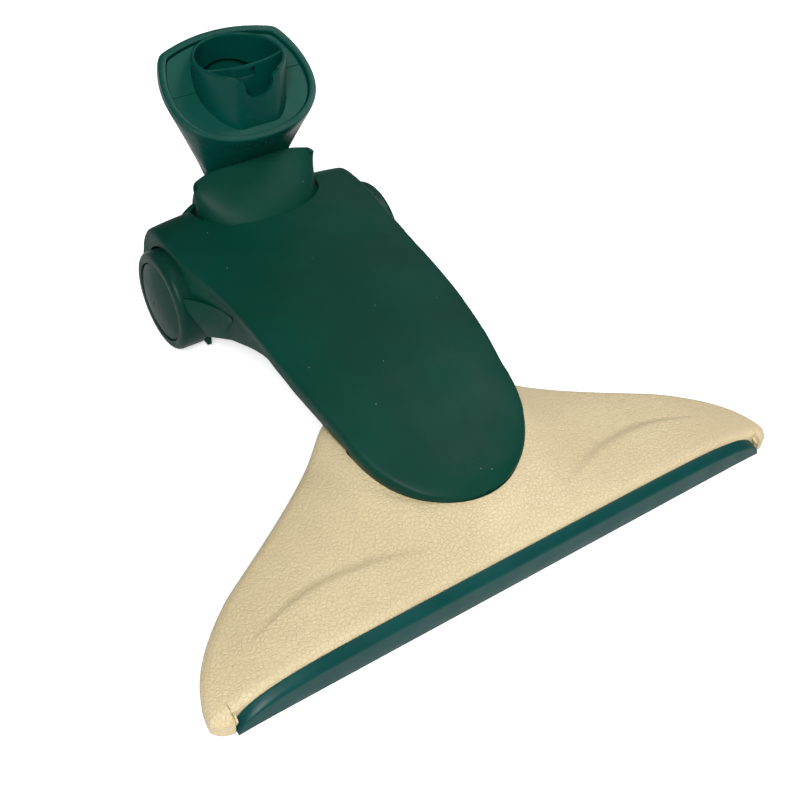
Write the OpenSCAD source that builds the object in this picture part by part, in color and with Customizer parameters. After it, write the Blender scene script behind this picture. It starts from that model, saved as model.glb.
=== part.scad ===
// Floor brush head of an upright vacuum cleaner: a wide delta foot, a long
// cowled neck on two rear wheels, and a connector that tilts in the neck.
// X is the width, the bumper faces -Y, Z is up and the floor is z = 0.
// Places along the head are given as distances from the bumper's front face,
// and fy() turns them into y.

/* [Foot] */
// Width over the two wing tips
foot_w = 310; // [290:1:330]
// Distance from the bumper to where the rear edge of the foot runs under the neck
foot_root = 116; // [112:1:122]
// Height of the foot's front edge at the middle
foot_front_h = 20.5; // [18:0.5:23]
// Height of the foot's rear edge at the wings
foot_rear_h = 13; // [11:0.5:16]
// Height of the raised rim round the nose of the neck
foot_rim_h = 27; // [25:0.5:29]
// Wall of the moulded covers
wall = 2.4; // [2:0.1:3]
// Height of the sole plate's underside above the floor
sole_clear = 4; // [3:0.5:5]
// Thickness of the sole plate
sole_t = 2.6; // [2:0.1:3.4]
// Gap between fixed mouldings that meet edge to edge
seam_gap = 0.3; // [0.2:0.05:0.5]

/* [Bumper] */
// Length of the bumper strip along the front edge
bumper_w = 292; // [270:1:300]
// Depth of the bumper strip from front to back
bumper_t = 5; // [4:0.5:7]

/* [Suction mouth and brushes] */
// Length of the suction mouth
mouth_w = 236; // [200:1:250]
// Depth of the suction mouth from front to back
mouth_d = 17; // [12:0.5:20]
// Distance from the bumper to the middle of the mouth
mouth_from_front = 31; // [29:0.5:34]
// Length of the front brush bar
front_brush_w = 270; // [240:1:278]
// Length of the rear brush bar
rear_brush_w = 180; // [140:1:200]
// Thickness of a row of bristles
bristle_t = 2.6; // [2:0.1:4]
// Distance between the tufts in a row
tuft_pitch = 4.5; // [4:0.5:8]
// Depth of a brush bar from front to back
bar_d = 6; // [5:0.5:8]

/* [Foot rollers] */
// Diameter of the small rollers in the sole
roller_d = 14; // [12:0.5:16]
// Length of a roller
roller_l = 12; // [9:0.5:14]
// Distance of the rollers from the middle of the foot
roller_x = 58; // [52:1:64]
// Distance from the bumper to the roller axles
roller_from_front = 72; // [70:0.5:76]
// Diameter of the roller axles
roller_axle_d = 3; // [2.5:0.1:4]

/* [Neck] */
// Distance from the bumper to the tip of the neck's nose
nose_from_front = 33; // [31:0.5:36]
// Half width of the neck's rounded nose
nose_half_w = 44.5; // [42:0.5:46]
// Length of the nose's half ellipse
nose_l = 40; // [36:1:44]
// Step from the neck's lower walls out to its top edges
skirt_step = 5.5; // [4:0.5:7]
// Height of the neck's top at the rear
neck_top = 61; // [60:0.5:63]
// Rise of the neck's top surface above its side edges
crown = 3.5; // [2.5:0.5:5]
// Step from the neck's lower walls out to its wheel arches
arch_step = 9; // [8:0.5:10]

/* [Wheels] */
// Diameter of the rear wheels
wheel_d = 53; // [50:1:54]
// Width of a rear wheel
wheel_w = 14.5; // [12:0.5:15]
// Distance of a wheel's outer face from the middle
wheel_out = 66.5; // [66:0.5:68]
// Gap between a wheel's inner face and the neck's lower wall
wheel_side_gap = 1.5; // [1:0.1:2]
// Distance from the bumper to the wheel axle
axle_from_front = 227; // [225:1:229]
// Diameter of the stub axles
axle_d = 8; // [6:0.5:9]
// Diameter of the hub caps
cap_d = 41; // [36:1:44]
// Rise of the hub cap's dome
cap_rise = 3.6; // [2:0.2:4]
// Clearance between a wheel and its arch
arch_gap = 1.1; // [0.8:0.1:1.6]
// Radial running clearance of the wheels and rollers on their axles
run_gap = 0.08; // [0.05:0.01:0.1]

/* [Tilting elbow] */
// Distance from the bumper to the tilt axis
pivot_from_front = 246; // [245:0.5:247]
// Height of the tilt axis
pivot_h = 41; // [40:0.5:42]
// Radius of the elbow's drum at its middle
drum_r = 30.5; // [29:0.5:30.5]
// Radius of the elbow's drum at its sides
drum_side_r = 21.5; // [20:0.5:23]
// Half width of the elbow's drum
drum_half_w = 34.5; // [33:0.5:35]
// Half width of the elbow's front lip
lip_half_w = 35.6; // [35:0.1:35.8]
// Height of the top of the elbow's front lip
lip_top = 77.5; // [75:0.5:80]
// Gap between the elbow and the neck's opening
drum_gap = 1; // [0.8:0.1:1.5]
// Diameter of the pivot pins
pivot_d = 10; // [8:0.5:11]

/* [Connector] */
// Distance from the bumper to the middle of the connector's rim
rim_from_front = 256.5; // [256:0.5:257]
// Height of the middle of the connector's rim
rim_h = 120; // [118:0.5:123]
// Slope of the connector's rim
rim_tilt = 30; // [26:1:32]
// Half width of the connector's rim
rim_half_w = 40; // [38:0.5:42]
// Reach of the rim in front of its middle
rim_front = 32; // [31:0.5:33]
// Reach of the rim's corners behind its middle
rim_corner = 25.5; // [24:0.5:27]
// Half width between the rim's corners
rim_corner_half_w = 31; // [29:0.5:33]
// Reach of the rim's rear arc behind its middle
rim_rear = 36.5; // [35.5:0.5:38]
// Distance from the bumper to the middle of the inner tube
tube_from_front = 257; // [257:0.5:258]
// Outer diameter of the inner tube
tube_d = 46.6; // [45:0.2:47]
// Wall of the inner tube
tube_wall = 2; // [1.6:0.1:2.4]
// Height of the inner tube's rim
tube_top = 134.5; // [132:0.5:137]
// Distance from the tube's middle to its flat front
tube_flat = 20.7; // [20:0.1:21.5]
// Width of the latch notch in the tube's front
notch_w = 15.5; // [12:0.5:17]
// Depth of the latch notch
notch_depth = 13; // [10:0.5:15]

/* [Screws] */
// Diameter of the screw heads
screw_head_d = 6.5; // [5.5:0.1:7]
// Diameter of the screw shanks
screw_d = 3.2; // [2.8:0.1:3.6]

/* [Hidden] */

$fn = 64;
eps = 0.01;

rim_band = 4;
overall_l = rim_from_front + rim_rear * cos(rim_tilt) + rim_band * sin(rim_tilt);
skirt_half_w = wheel_out - wheel_w - wheel_side_gap;
neck_half_w = skirt_half_w + skirt_step;
arch_half_w = skirt_half_w + arch_step;
function fy(d) = d - overall_l / 2;

cream = "#e8dcb8";
green = "#0a4a3c";
deep_green = "#08382e";
teal = "#1e6058";

// A smooth curve through the points [position, value], by cubic pieces.
function span_of(x, p, i = 0) = i >= len(p) - 2 || x < p[i + 1][0] ? i : span_of(x, p, i + 1);
function slope_at(p, i) =
    let (a = max(i - 1, 0), b = min(i + 1, len(p) - 1))
    (p[b][1] - p[a][1]) / (p[b][0] - p[a][0]);
function curve(x, p) =
    let (i = span_of(x, p), h = p[i + 1][0] - p[i][0], t = (x - p[i][0]) / h)
    (2 * t ^ 3 - 3 * t ^ 2 + 1) * p[i][1] + (t ^ 3 - 2 * t ^ 2 + t) * h * slope_at(p, i)
    + (3 * t ^ 2 - 2 * t ^ 3) * p[i + 1][1] + (t ^ 3 - t ^ 2) * h * slope_at(p, i + 1);

function bezier(a, b, c, d, t) =
    (1 - t) ^ 3 * a + 3 * (1 - t) ^ 2 * t * b + 3 * (1 - t) * t ^ 2 * c + t ^ 3 * d;

function mirrored(points) = concat(
    points,
    [for (i = [len(points) - 1:-1:0]) if (abs(points[i][0]) > eps) [-points[i][0], points[i][1]]]
);

// A closed body through rings that all have the same number of points.
module loft(rings) {
    n = len(rings[0]);
    m = len(rings);
    polyhedron(
        points = [for (r = rings) each r],
        faces = concat(
            [[for (i = [n - 1:-1:0]) i]],
            [[for (i = [0:n - 1]) (m - 1) * n + i]],
            [for (j = [0:m - 2]) for (i = [0:n - 1])
                [j * n + i, j * n + (i + 1) % n, (j + 1) * n + i]],
            [for (j = [0:m - 2]) for (i = [0:n - 1])
                [j * n + (i + 1) % n, (j + 1) * n + (i + 1) % n, (j + 1) * n + i]]
        )
    );
}

// A side profile, drawn with x as the distance from the bumper and y as the
// height, pushed out to a width along X from x0.
module along_x(x0, width) {
    translate([x0, fy(0), 0])
        rotate([90, 0, 90])
            linear_extrude(height = width) children();
}

module both_sides() {
    children();
    mirror([1, 0, 0]) children();
}

// A round bar along X from x0 at the distance d and the height z.
module bar_x(x0, length, d, z, dia) {
    translate([x0, fy(d), z])
        rotate([0, 90, 0]) cylinder(h = length, d = dia);
}

// Foot: plan and surface

front_line = bumper_t - 0.2;
tip_d = 9;
wing_knee = [foot_w / 2 * 0.784, foot_root * 0.478];
root_half_w = 28;
root_end = foot_root + 14;

function wing_edge(t) =
    bezier([foot_w / 2, tip_d], [foot_w / 2 - 2, tip_d + 18],
        wing_knee + [17.5, -14], wing_knee, t);
function shoulder_edge(t) =
    bezier(wing_knee, wing_knee + [-17.5, 12], [56, foot_root - 20], [33, foot_root], t);

// Rear outline of the foot's right half, from the middle to the wing tip.
function foot_rear_edge(inset = 0) = concat(
    [for (x = [0, 14, root_half_w]) [x, root_end - inset]],
    [for (i = [0:7]) shoulder_edge(1 - i / 7) - [inset * 0.55, inset * 0.8]],
    [for (i = [1:10]) wing_edge(1 - i / 10) - [inset * 0.8, inset * 0.5 * (1 - i / 10)]]
);

bumper_end = bumper_w / 2 + 0.4;
// Front outline: set back behind the bumper, and rounded out at the wing tips.
function foot_front_edge(x, inset = 0) =
    let (r = foot_w / 2 - bumper_end, k = (abs(x) - bumper_end) / (r + 0.5))
    abs(x) <= bumper_end - inset ? front_line + inset
        : tip_d - (tip_d - 1.2 - inset) * sqrt(max(0, 1 - max(0, k) ^ 2));

nose_mid = nose_from_front + nose_l;
// 1 on the outline of the neck's nose, more outside it.
function nose_ratio(x, d) =
    norm([x / nose_half_w, d < nose_mid ? (nose_mid - d) / nose_l : 0]);

function rim_at(d) = curve(d, [
    [0, foot_rim_h], [nose_from_front, foot_rim_h], [55, foot_rim_h + 0.5],
    [75, foot_rim_h + 3], [95, foot_rim_h + 2], [foot_root + 20, foot_rim_h - 2]
]);

// Height of the foot's surface between its front edge df and rear edge dr.
function foot_top(x, d, df, dr) =
    let (
        v = (d - df) / max(dr - df, 1),
        front = foot_front_h * (1 - 0.4 * (abs(x) / (foot_w / 2)) ^ 6),
        rear = foot_rear_h + 12 * exp(-(max(0, abs(x) - 25) / 32) ^ 2),
        bulge = 5.5 * (1 - (x / foot_w * 2) ^ 2) * 4 * v * (1 - v),
        plain = front * (1 - v) + rear * v + bulge,
        q = nose_ratio(x, d),
        near = q < 1 ? 1 : exp(-((q - 1) / 0.2) ^ 2),
        edge = max(0, min(d - df, dr - d, 3)) / 3
    )
    plain + (rim_at(d) - plain) * near - 2.2 * (1 - sqrt(1 - (1 - edge) ^ 2));

foot_steps = [0, 0.012, 0.04, 0.1, 0.2, 0.32, 0.44, 0.56, 0.68, 0.8, 0.9, 0.96, 0.988, 1];

function foot_ring(s, inset, floor_z) =
    let (x = s[0], df = foot_front_edge(x, inset), dr = max(s[1], df + 1))
    concat(
        [[x, fy(df), floor_z]],
        [for (v = foot_steps) let (d = df + (dr - df) * v)
            [x, fy(d), foot_top(x, d, df, dr) - inset]],
        [[x, fy(dr), floor_z]]
    );

module foot_body(inset, floor_z) {
    half = [for (s = foot_rear_edge(inset)) [s[0], s[1]]];
    right = [for (s = half) if (s[0] < bumper_end - 1.5 || s[0] > bumper_end + 1.5) s];
    split = [for (x = [bumper_end - inset, bumper_end - inset + 0.1])
        [x, curve_of_edge(x, half)]];
    ordered = concat(
        [for (s = right) if (s[0] < bumper_end) s], split,
        [for (s = right) if (s[0] > bumper_end) s]
    );
    left = [for (i = [len(ordered) - 1:-1:1]) [-ordered[i][0], ordered[i][1]]];
    loft([for (s = concat(left, ordered)) foot_ring(s, inset, floor_z)]);
}

function curve_of_edge(x, half) = lookup(x, [for (s = half) if (s[0] > root_half_w) s]);

// Outline of the neck's nose and of the keel behind it.
module neck_hole(grow = 0) {
    nose = [for (a = [0:6:180])
        [-(nose_half_w + grow) * cos(a), fy(nose_mid) - (nose_l + grow) * sin(a)]];
    keel = [
        [nose_half_w + grow - 1, fy(nose_mid + 8)], [keel_half_w + 5 + grow, fy(nose_mid + 24)],
        [keel_half_w + 3 + grow, fy(root_end + 1)], [-keel_half_w - 3 - grow, fy(root_end + 1)],
        [-keel_half_w - 5 - grow, fy(nose_mid + 24)], [-nose_half_w - grow + 1, fy(nose_mid + 8)]
    ];
    polygon(concat(nose, keel));
}

module foot_outline(inset) {
    half = [for (s = foot_rear_edge(inset)) if (s[0] < foot_w / 2 - inset) s];
    both_sides() polygon(concat(half,
        [for (i = [len(half) - 1:-1:0]) [half[i][0], foot_front_edge(half[i][0], inset)]]));
}

sole_in = sole_clear + sole_t;
pinch_gap = 0.05;
sole_screw_places = [[128, 30], [96, 56], [60, 85]];

module foot_cover() {
    color(cream) {
        difference() {
            foot_body(0, sole_clear);
            foot_body(wall, sole_clear - 1);
            translate([0, 0, root_wall_top]) linear_extrude(height = 40) neck_hole(2 * seam_gap);
        }
        intersection() {
            foot_body(wall / 2, sole_in);
            for (p = sole_screw_places) both_sides()
                translate([p[0], fy(p[1]), sole_in]) difference() {
                    cylinder(h = 40, d = screw_d + 4.4);
                    translate([0, 0, -1]) cylinder(h = 8, d = screw_d + 2 * pinch_gap);
                }
        }
    }
}

mouth_front = mouth_from_front - mouth_d / 2;
front_bar_at = (mouth_front + front_line + wall) / 2 - 0.6;
rear_bar_gap = 7.5;
rear_bar_at = mouth_from_front + mouth_d / 2 + bar_d / 2 + rear_bar_gap;
bar_flange = 1.6;

module sole_plate() {
    well_d = roller_d + 2;
    color(green) difference() {
        union() {
            translate([0, fy(0), sole_clear]) linear_extrude(height = sole_t)
                foot_outline(wall + seam_gap);
            for (x = roller_lugs()) both_sides()
                bar_x(x, lug_t, roller_from_front, roller_d / 2, roller_axle_d + 5);
        }
        translate([-mouth_w / 2, fy(mouth_front), sole_clear - 1])
            cube([mouth_w, mouth_d, sole_t + 2]);
        translate([-front_brush_w / 2, fy(front_bar_at - bar_d / 2), sole_clear - 1])
            cube([front_brush_w, bar_d, sole_t + 2]);
        translate([-rear_brush_w / 2, fy(rear_bar_at - bar_d / 2), sole_clear - 1])
            cube([rear_brush_w, bar_d, sole_t + 2]);
        both_sides() {
            translate([roller_x - roller_l / 2 - 1, fy(roller_from_front - well_d / 2), -1])
                cube([roller_l + 2, well_d, 30]);
            bar_x(roller_x - 20, 40, roller_from_front, roller_d / 2, roller_axle_d);
            for (p = sole_screw_places) translate([p[0], fy(p[1]), sole_clear - 1]) {
                cylinder(h = sole_t + 2, d = screw_d + 0.4);
                cylinder(h = 1 + screw_head_h, d = screw_head_d + 0.4);
            }
        }
    }
}

lug_t = 2.5;
function roller_lugs() = [roller_x - roller_l / 2 - 1 - lug_t, roller_x + roller_l / 2 + 1];

function bumper_top(x) =
    let (k = abs(x) / (bumper_w / 2))
    sole_clear - 1 + (foot_front_h - 0.3 - sole_clear + 1) * (1 - k ^ 9) ^ 0.45
    * (1 - 0.1 * k ^ 4);

module front_bumper() {
    low = sole_clear - 1;
    steps = [0, 0.2, 0.4, 0.55, 0.68, 0.78, 0.85, 0.9, 0.94, 0.97, 0.99, 0.999];
    sides = concat([for (i = [len(steps) - 1:-1:1]) -steps[i]], steps);
    color(teal) loft([for (k = sides)
        let (x = k * bumper_w / 2, top = max(bumper_top(x), low + 0.6), h = top - low)
        [
            [x, fy(0.5), low], [x, fy(0), low + 0.08 * h], [x, fy(0), low + 0.76 * h],
            [x, fy(0.5), low + 0.84 * h], [x, fy(1.6), low + 0.9 * h],
            [x, fy(front_line - 0.4), top - 0.1], [x, fy(front_line), top],
            [x, fy(front_line), low]
        ]]);
}

// A bar that snaps into its slot from inside and holds a row of bristles.
module brush_bar(width, at) {
    bar_h = sole_in + bar_flange - sole_clear + 0.8;
    color(deep_green) difference() {
        union() {
            translate([-width / 2, fy(at - bar_d / 2), sole_clear - 0.8])
                cube([width, bar_d, bar_h]);
            translate([-width / 2 - 1.5, fy(at - bar_d / 2 - 1.5), sole_in])
                cube([width + 3, bar_d + 3, bar_flange]);
        }
        translate([-width / 2 + 2, fy(at - bristle_t / 2), sole_clear - 1])
            cube([width - 4, bristle_t, sole_in + 0.1 - sole_clear + 1]);
    }
}

// A row of tufts that hang from one backing strip.
module bristle_row(width, at) {
    length = width - 4.4;
    count = floor(length / tuft_pitch);
    top = sole_in;
    root = sole_clear;
    depth = bristle_t - 2 * pinch_gap;
    tuft = tuft_pitch * 0.36;
    color("dimgray") translate([0, fy(at + depth / 2), 0])
        rotate([90, 0, 0]) linear_extrude(height = depth) polygon(concat(
            [[length / 2, top], [-length / 2, top]],
            [for (i = [0:count - 1]) let (x = (i - (count - 1) / 2) * tuft_pitch)
                each [[x - tuft, root], [x - tuft * 1.15, 0], [x + tuft * 1.15, 0], [x + tuft, root]]]
        ));
}

module front_brush_bar() {
    brush_bar(front_brush_w, front_bar_at);
}

module front_bristles() {
    bristle_row(front_brush_w, front_bar_at);
}

module rear_brush_bar() {
    brush_bar(rear_brush_w, rear_bar_at);
}

module rear_bristles() {
    bristle_row(rear_brush_w, rear_bar_at);
}

lint_d = 5;
lint_pile = 2.2;

module lint_strip_right() {
    edge = mouth_from_front + mouth_d / 2 + 1;
    color("firebrick") translate([8, fy(edge), sole_clear - lint_pile])
        cube([rear_brush_w / 2 - 8, lint_d, lint_pile]);
}

module lint_strip_left() {
    mirror([1, 0, 0]) lint_strip_right();
}

module roller_right() {
    color("darkslategray") difference() {
        bar_x(roller_x - roller_l / 2, roller_l, roller_from_front, roller_d / 2, roller_d);
        bar_x(roller_x - roller_l, 2 * roller_l, roller_from_front, roller_d / 2,
            roller_axle_d + 2 * run_gap);
    }
}

module roller_left() {
    mirror([1, 0, 0]) roller_right();
}

module roller_axle_right() {
    lugs = roller_lugs();
    color("silver") bar_x(lugs[0], lugs[1] + lug_t - lugs[0], roller_from_front, roller_d / 2,
        roller_axle_d);
}

module roller_axle_left() {
    mirror([1, 0, 0]) roller_axle_right();
}

// Neck: lengthwise curves, all against the distance from the bumper

axle_h = wheel_d / 2;
tail_mid = axle_from_front + 2;
tail_r = neck_top - axle_h;
keel_half_w = 31;
root_wall_top = 19.5;
flange_top = foot_rim_h - wall - 0.2;
flange_t = 2.4;

function neck_between(share) = nose_half_w + (neck_half_w - nose_half_w) * share;

function neck_half(d, inset = 0) = d < nose_mid
    ? (nose_half_w - inset) * sqrt(max(0, 1 - ((nose_mid - d) / (nose_l - inset)) ^ 2))
    : curve(d, [
        [nose_mid, nose_half_w], [nose_mid + 9, nose_half_w + 1], [92, neck_between(0.27)],
        [110, neck_between(0.478)], [131, neck_between(0.678)], [150, neck_between(0.826)],
        [175, neck_between(0.94)], [210, neck_half_w], [300, neck_half_w]
    ]) - inset;

function neck_crest(d) = d < tail_mid
    ? curve(d, [
        [nose_from_front, foot_rim_h + 1.5], [nose_from_front + 3, foot_rim_h + 3.6], [42, 33.4],
        [50, 36.3], [64, 41], [75, 44.6], [90, 49], [105, 52.8], [131, 57.2], [155, 59.6],
        [185, neck_top - 0.2], [tail_mid, neck_top], [300, neck_top]
    ])
    : axle_h + sqrt(max(0, tail_r ^ 2 - (d - tail_mid) ^ 2));

function neck_lip(d) = curve(d, [
    [nose_from_front, flange_top + 0.2], [50, flange_top + 0.4], [60, 26.4], [75, 31], [90, 36],
    [105, 41], [131, 46.3], [150, 48.5], [165, 48.5], [181, 46.6], [200, 41], [216, 35],
    [235, 31], [300, 30]
]);

function neck_edge(d, inset = 0) =
    let (top = neck_crest(d), low = neck_lip(d))
    top - min(crown, (top - low) * 0.5) * min(1, neck_half(d) / 30);

function neck_skirt(d, inset = 0) = d < 120
    ? neck_half(d, inset) - 0.5 * min(1, neck_half(d) / 8)
    : curve(d, [
        [120, neck_half(120) - 0.5], [135, skirt_half_w + 0.9], [165, skirt_half_w + 0.5],
        [185, skirt_half_w + 0.7], [200, skirt_half_w + arch_step * 0.28],
        [210, skirt_half_w + arch_step * 0.67],
        [217, arch_half_w], [300, arch_half_w]
    ]) - inset;

// Half of a neck section from its low side edge up to the middle of its top.
function neck_section(d, inset, low) =
    let (
        w = neck_half(d, inset), s = neck_skirt(d, inset), top = neck_crest(d) - inset,
        edge = neck_edge(d) - inset, base = min(low, edge - 0.3)
    )
    concat(
        [[s, base], [(w + s) / 2 + lookup(d, [[120, 0.4], [150, -0.12]]) * abs(s - w),
            edge * 0.55 + base * 0.45]],
        [for (a = [90:-9:0]) [w * sin(a), edge + (top - edge) * (1 - sin(a) ^ 3)]]
    );

function neck_ring(d, inset, drop) =
    let (half = neck_section(d, inset, neck_lip(d) - drop))
    [for (q = mirrored(half)) [q[0], fy(d), q[1]]];

module neck_body(inset, drop) {
    nose = [for (a = [6, 14, 24, 35, 47, 60, 74]) nose_mid - (nose_l - inset) * cos(a)];
    middle = [nose_mid, 82, 92, 105, 118, 131, 144, 157, 170, 182, 192, 200, 206, 212, 217, 223];
    tail = [for (a = [90:-12:18]) tail_mid + (tail_r - inset) * cos(a)];
    loft([for (d = concat(nose, middle, tail)) neck_ring(d, inset, drop)]);
}

function drum_at(x) =
    drum_r - (drum_r - drum_side_r) * min(1, (abs(x) / drum_half_w) ^ 2.8);

// The elbow's barrel about the tilt axis, grown or shrunk all round.
module drum(grow = 0) {
    half = drum_half_w + grow;
    translate([0, fy(pivot_from_front), pivot_h]) rotate([0, 90, 0])
        rotate_extrude($fn = 96) polygon(concat(
            [[0, -half]],
            [for (i = [-8:8]) [drum_at(i / 8 * drum_half_w) + grow, i / 8 * half]],
            [[0, half]]
        ));
}

channel_half_w = lip_half_w + drum_gap;

module elbow_channel() {
    drum(drum_gap);
    translate([-channel_half_w, fy(pivot_from_front - 4), pivot_h - 20])
        cube([2 * channel_half_w, 60, 80]);
}

module wheel_wells() {
    both_sides() bar_x(skirt_half_w - 1.2, 30, axle_from_front, axle_h, wheel_d + 2 * arch_gap);
}

neck_screw_places = [[42.6, 198], [41, 152]];
function screw_seat(p) = curve(p[1], low_edge) + 1.2;

module neck_cowl() {
    color(green) difference() {
        neck_body(0, 0);
        neck_body(wall, 4.5);
        elbow_channel();
        wheel_wells();
    }
    color(green) intersection() {
        neck_body(wall / 2, 3.5);
        for (p = neck_screw_places) both_sides()
            translate([p[0], fy(p[1]), screw_seat(p) + 5]) difference() {
                cylinder(h = 60, d = screw_d + 4.4);
                translate([0, 0, -1]) cylinder(h = 8, d = screw_d + 2 * pinch_gap);
            }
    }
}

low_edge = [
    [128, 48.6], [138, 47.2], [148, 44.6], [158, 40.6], [177, 31], [198, 20], [209, 13.6],
    [219, 8.4], [232, 5.2], [300, 5]
];
keel_edge = [
    [90, 13], [106, 17.6], [116, 21], [133, 22.5], [147, 22.5], [160, 21], [175, 17.5],
    [190, 12], [205, 7.6], [219, 5.2], [300, 5]
];
housing_floor = 5;
shell_end = 219;

// A floor of the shell, set up a little inside the low edge of its walls.
module floor_band(points, from, x0, width) {
    up = 0.4;
    along_x(x0, width) polygon(concat(
        [for (d = [from:8:shell_end]) [d, curve(d, points) + up]],
        [for (d = [shell_end:-8:from]) [d, curve(d, points) + up + wall]]
    ));
}

// Side profile of the housing round the wheels and the tilt axis: low under
// the cowl's edge, and set in where it stands inside the cowl.
module housing_profile(inset, step_in) {
    split = 29.6 - axle_h;
    r = tail_r - inset;
    inner = r - step_in;
    low = -asin((axle_h - housing_floor) / r);
    high = asin(split / r);
    step = asin(split / inner);
    polygon(concat(
        [[tail_mid - 22, housing_floor]],
        [for (k = [0:8]) let (a = low + (high - low) * k / 8)
            [tail_mid + r * cos(a), axle_h + r * sin(a)]],
        [for (k = [0:14]) let (a = step + (90 - step) * k / 14)
            [tail_mid + inner * cos(a), axle_h + inner * sin(a)]],
        [[tail_mid - 22, axle_h + inner]]
    ));
}

module neck_lower_shell() {
    keel_in = keel_half_w - wall;
    plate_in = skirt_half_w - wall;
    color(deep_green) difference() {
        union() {
            difference() {
                translate([0, 0, flange_top - flange_t]) linear_extrude(height = flange_t)
                    intersection() {
                        neck_hole(0.9);
                        translate([-100, fy(0)]) square([200, 98]);
                    }
                translate([-duct_half_w - 0.4, fy(duct_front - 1), 0]) cube([2 * duct_half_w + 0.8, 40, 60]);
            }
            both_sides() {
                along_x(keel_in, wall) polygon(concat(
                    [[88, flange_top - flange_t + 0.3], [88, 33], [105, 42], [130, 49], [160, 50.5],
                        [shell_end, 50.5]],
                    [for (d = [shell_end:-8:91]) [d, curve(d, keel_edge)]]
                ));
                along_x(plate_in, wall) polygon(concat(
                    [[138, neck_lip(138) - 0.6]],
                    [for (d = [147:8:shell_end]) [d, min(neck_lip(d), 48.4) - 0.2]],
                    [for (d = [shell_end:-8:147]) [d, curve(d, low_edge)]]
                ));
                floor_band(low_edge, 139, keel_in + 0.3, plate_in - keel_in + 0.4);
                along_x(channel_half_w, wall) housing_profile(0.3, wall + crown + 0.7);
                along_x(plate_in, wall) housing_profile(0.3, wall + crown + 0.7);
                along_x(channel_half_w + 0.3, plate_in - channel_half_w) intersection() {
                    difference() {
                        translate([tail_mid, axle_h]) circle(tail_r, $fn = 96);
                        translate([tail_mid, axle_h]) circle(tail_r - wall, $fn = 96);
                    }
                    translate([tail_mid, housing_floor + 0.3]) square([60, 24]);
                }
                for (p = neck_screw_places) translate([p[0], fy(p[1]), screw_seat(p) - 2.4])
                    cylinder(h = 6.6, d = screw_head_d + 3);
                bar_x(channel_half_w + 1, 9, pivot_from_front, pivot_h, pivot_d + 6);
                bar_x(channel_half_w + 1, plate_in - channel_half_w, axle_from_front, axle_h,
                    axle_d + 6);
            }
            floor_band(keel_edge, 99, -keel_in - 0.3, 2 * keel_in + 0.6);
            along_x(-plate_in - 0.3, 2 * plate_in + 0.6)
                translate([shell_end - 6, housing_floor + 0.5]) square([42, wall]);
        }
        both_sides() {
            bar_x(30, 17, pivot_from_front, pivot_h, pivot_d);
            bar_x(channel_half_w + 1, 30, axle_from_front, axle_h, axle_d);
            for (p = neck_screw_places) translate([p[0], fy(p[1]), 0]) {
                cylinder(h = 60, d = screw_d + 0.4);
                cylinder(h = screw_seat(p), d = screw_head_d + 0.4);
            }
        }
    }
}

duct_half_w = 28;
duct_wall = 1.8;
duct_front = 80;
duct_rear = 230;
duct_top = [[78, 24], [90, 29], [105, 37], [120, 44], [133, 48.5], [150, 51.5], [185, 54], [240, 55]];
duct_base = [
    [78, 11.5], [90, 15], [106, 20.9], [116, 24.3], [133, 25.8], [147, 25.8], [160, 24.3],
    [175, 20.8], [190, 15.3], [205, 10.9], [219, 8.6], [240, 8.6]
];

module duct_profile(inset, from, to) {
    polygon(concat(
        [for (d = [from:6:to]) [d, curve(d, duct_base) + inset]],
        [for (d = [to:-6:from]) [d, curve(d, duct_top) - inset]]
    ));
}

module air_duct() {
    color("dimgray") difference() {
        along_x(-duct_half_w, 2 * duct_half_w) duct_profile(0, duct_front, duct_rear);
        along_x(-duct_half_w + duct_wall, 2 * (duct_half_w - duct_wall))
            duct_profile(duct_wall, duct_front - 2, duct_rear + 4);
        drum(0.5);
    }
}

wheel_in = wheel_out - wheel_w;

// The profile turned about the axle: x is the radius, y is along the axle.
module wheel_right() {
    r = wheel_d / 2;
    soft = 3;
    color(green) translate([wheel_in, fy(axle_from_front), axle_h]) rotate([0, 90, 0])
        rotate_extrude($fn = 96) difference() {
            union() {
                translate([0, 0]) square([r - soft, wheel_w]);
                translate([0, 1.5]) square([r, wheel_w - 1.5 - soft]);
                translate([0, 0]) square([r - 1.5, wheel_w - soft]);
                translate([r - soft, wheel_w - soft]) circle(soft);
                translate([r - 1.5, 1.5]) circle(1.5);
            }
            translate([-1, -1]) square([1 + axle_d / 2 + run_gap, wheel_w + 2]);
            translate([cap_seat_r, wheel_w - cap_depth]) square([cap_d / 2 + 0.7 - cap_seat_r, 10]);
            translate([-1, wheel_w - cap_depth]) square([cap_seat_r + 2, 10]);
            translate([axle_d / 2 + 4, -1]) square([r - 4 - axle_d / 2 - 4, wheel_w - cap_depth - 1.4]);
        }
}

cap_depth = 3;
cap_seat_r = 9;

module wheel_left() {
    mirror([1, 0, 0]) wheel_right();
}

module hub_cap_right() {
    dome_r = ((cap_d / 2) ^ 2 + cap_rise ^ 2) / (2 * cap_rise);
    edge_h = cap_depth - 0.6;
    color(deep_green) translate([wheel_out - cap_depth, fy(axle_from_front), axle_h])
        rotate([0, 90, 0]) rotate_extrude($fn = 96) difference() {
            intersection() {
                union() {
                    square([cap_d / 2, edge_h]);
                    translate([0, edge_h + cap_rise - dome_r]) circle(dome_r, $fn = 256);
                }
                square([cap_d / 2, edge_h + cap_rise + 1]);
            }
            translate([-1, -1]) square([1 + axle_d / 2 + 4, 1 + stub_head_t + 0.6]);
        }
}

module hub_cap_left() {
    mirror([1, 0, 0]) hub_cap_right();
}

stub_head_t = 1;

module axle_stub_right() {
    seat = wheel_out - cap_depth + 0.2;
    color("silver") {
        bar_x(channel_half_w + 1, seat - channel_half_w - 1, axle_from_front, axle_h, axle_d);
        bar_x(seat, stub_head_t, axle_from_front, axle_h, axle_d + 5);
    }
}

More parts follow.
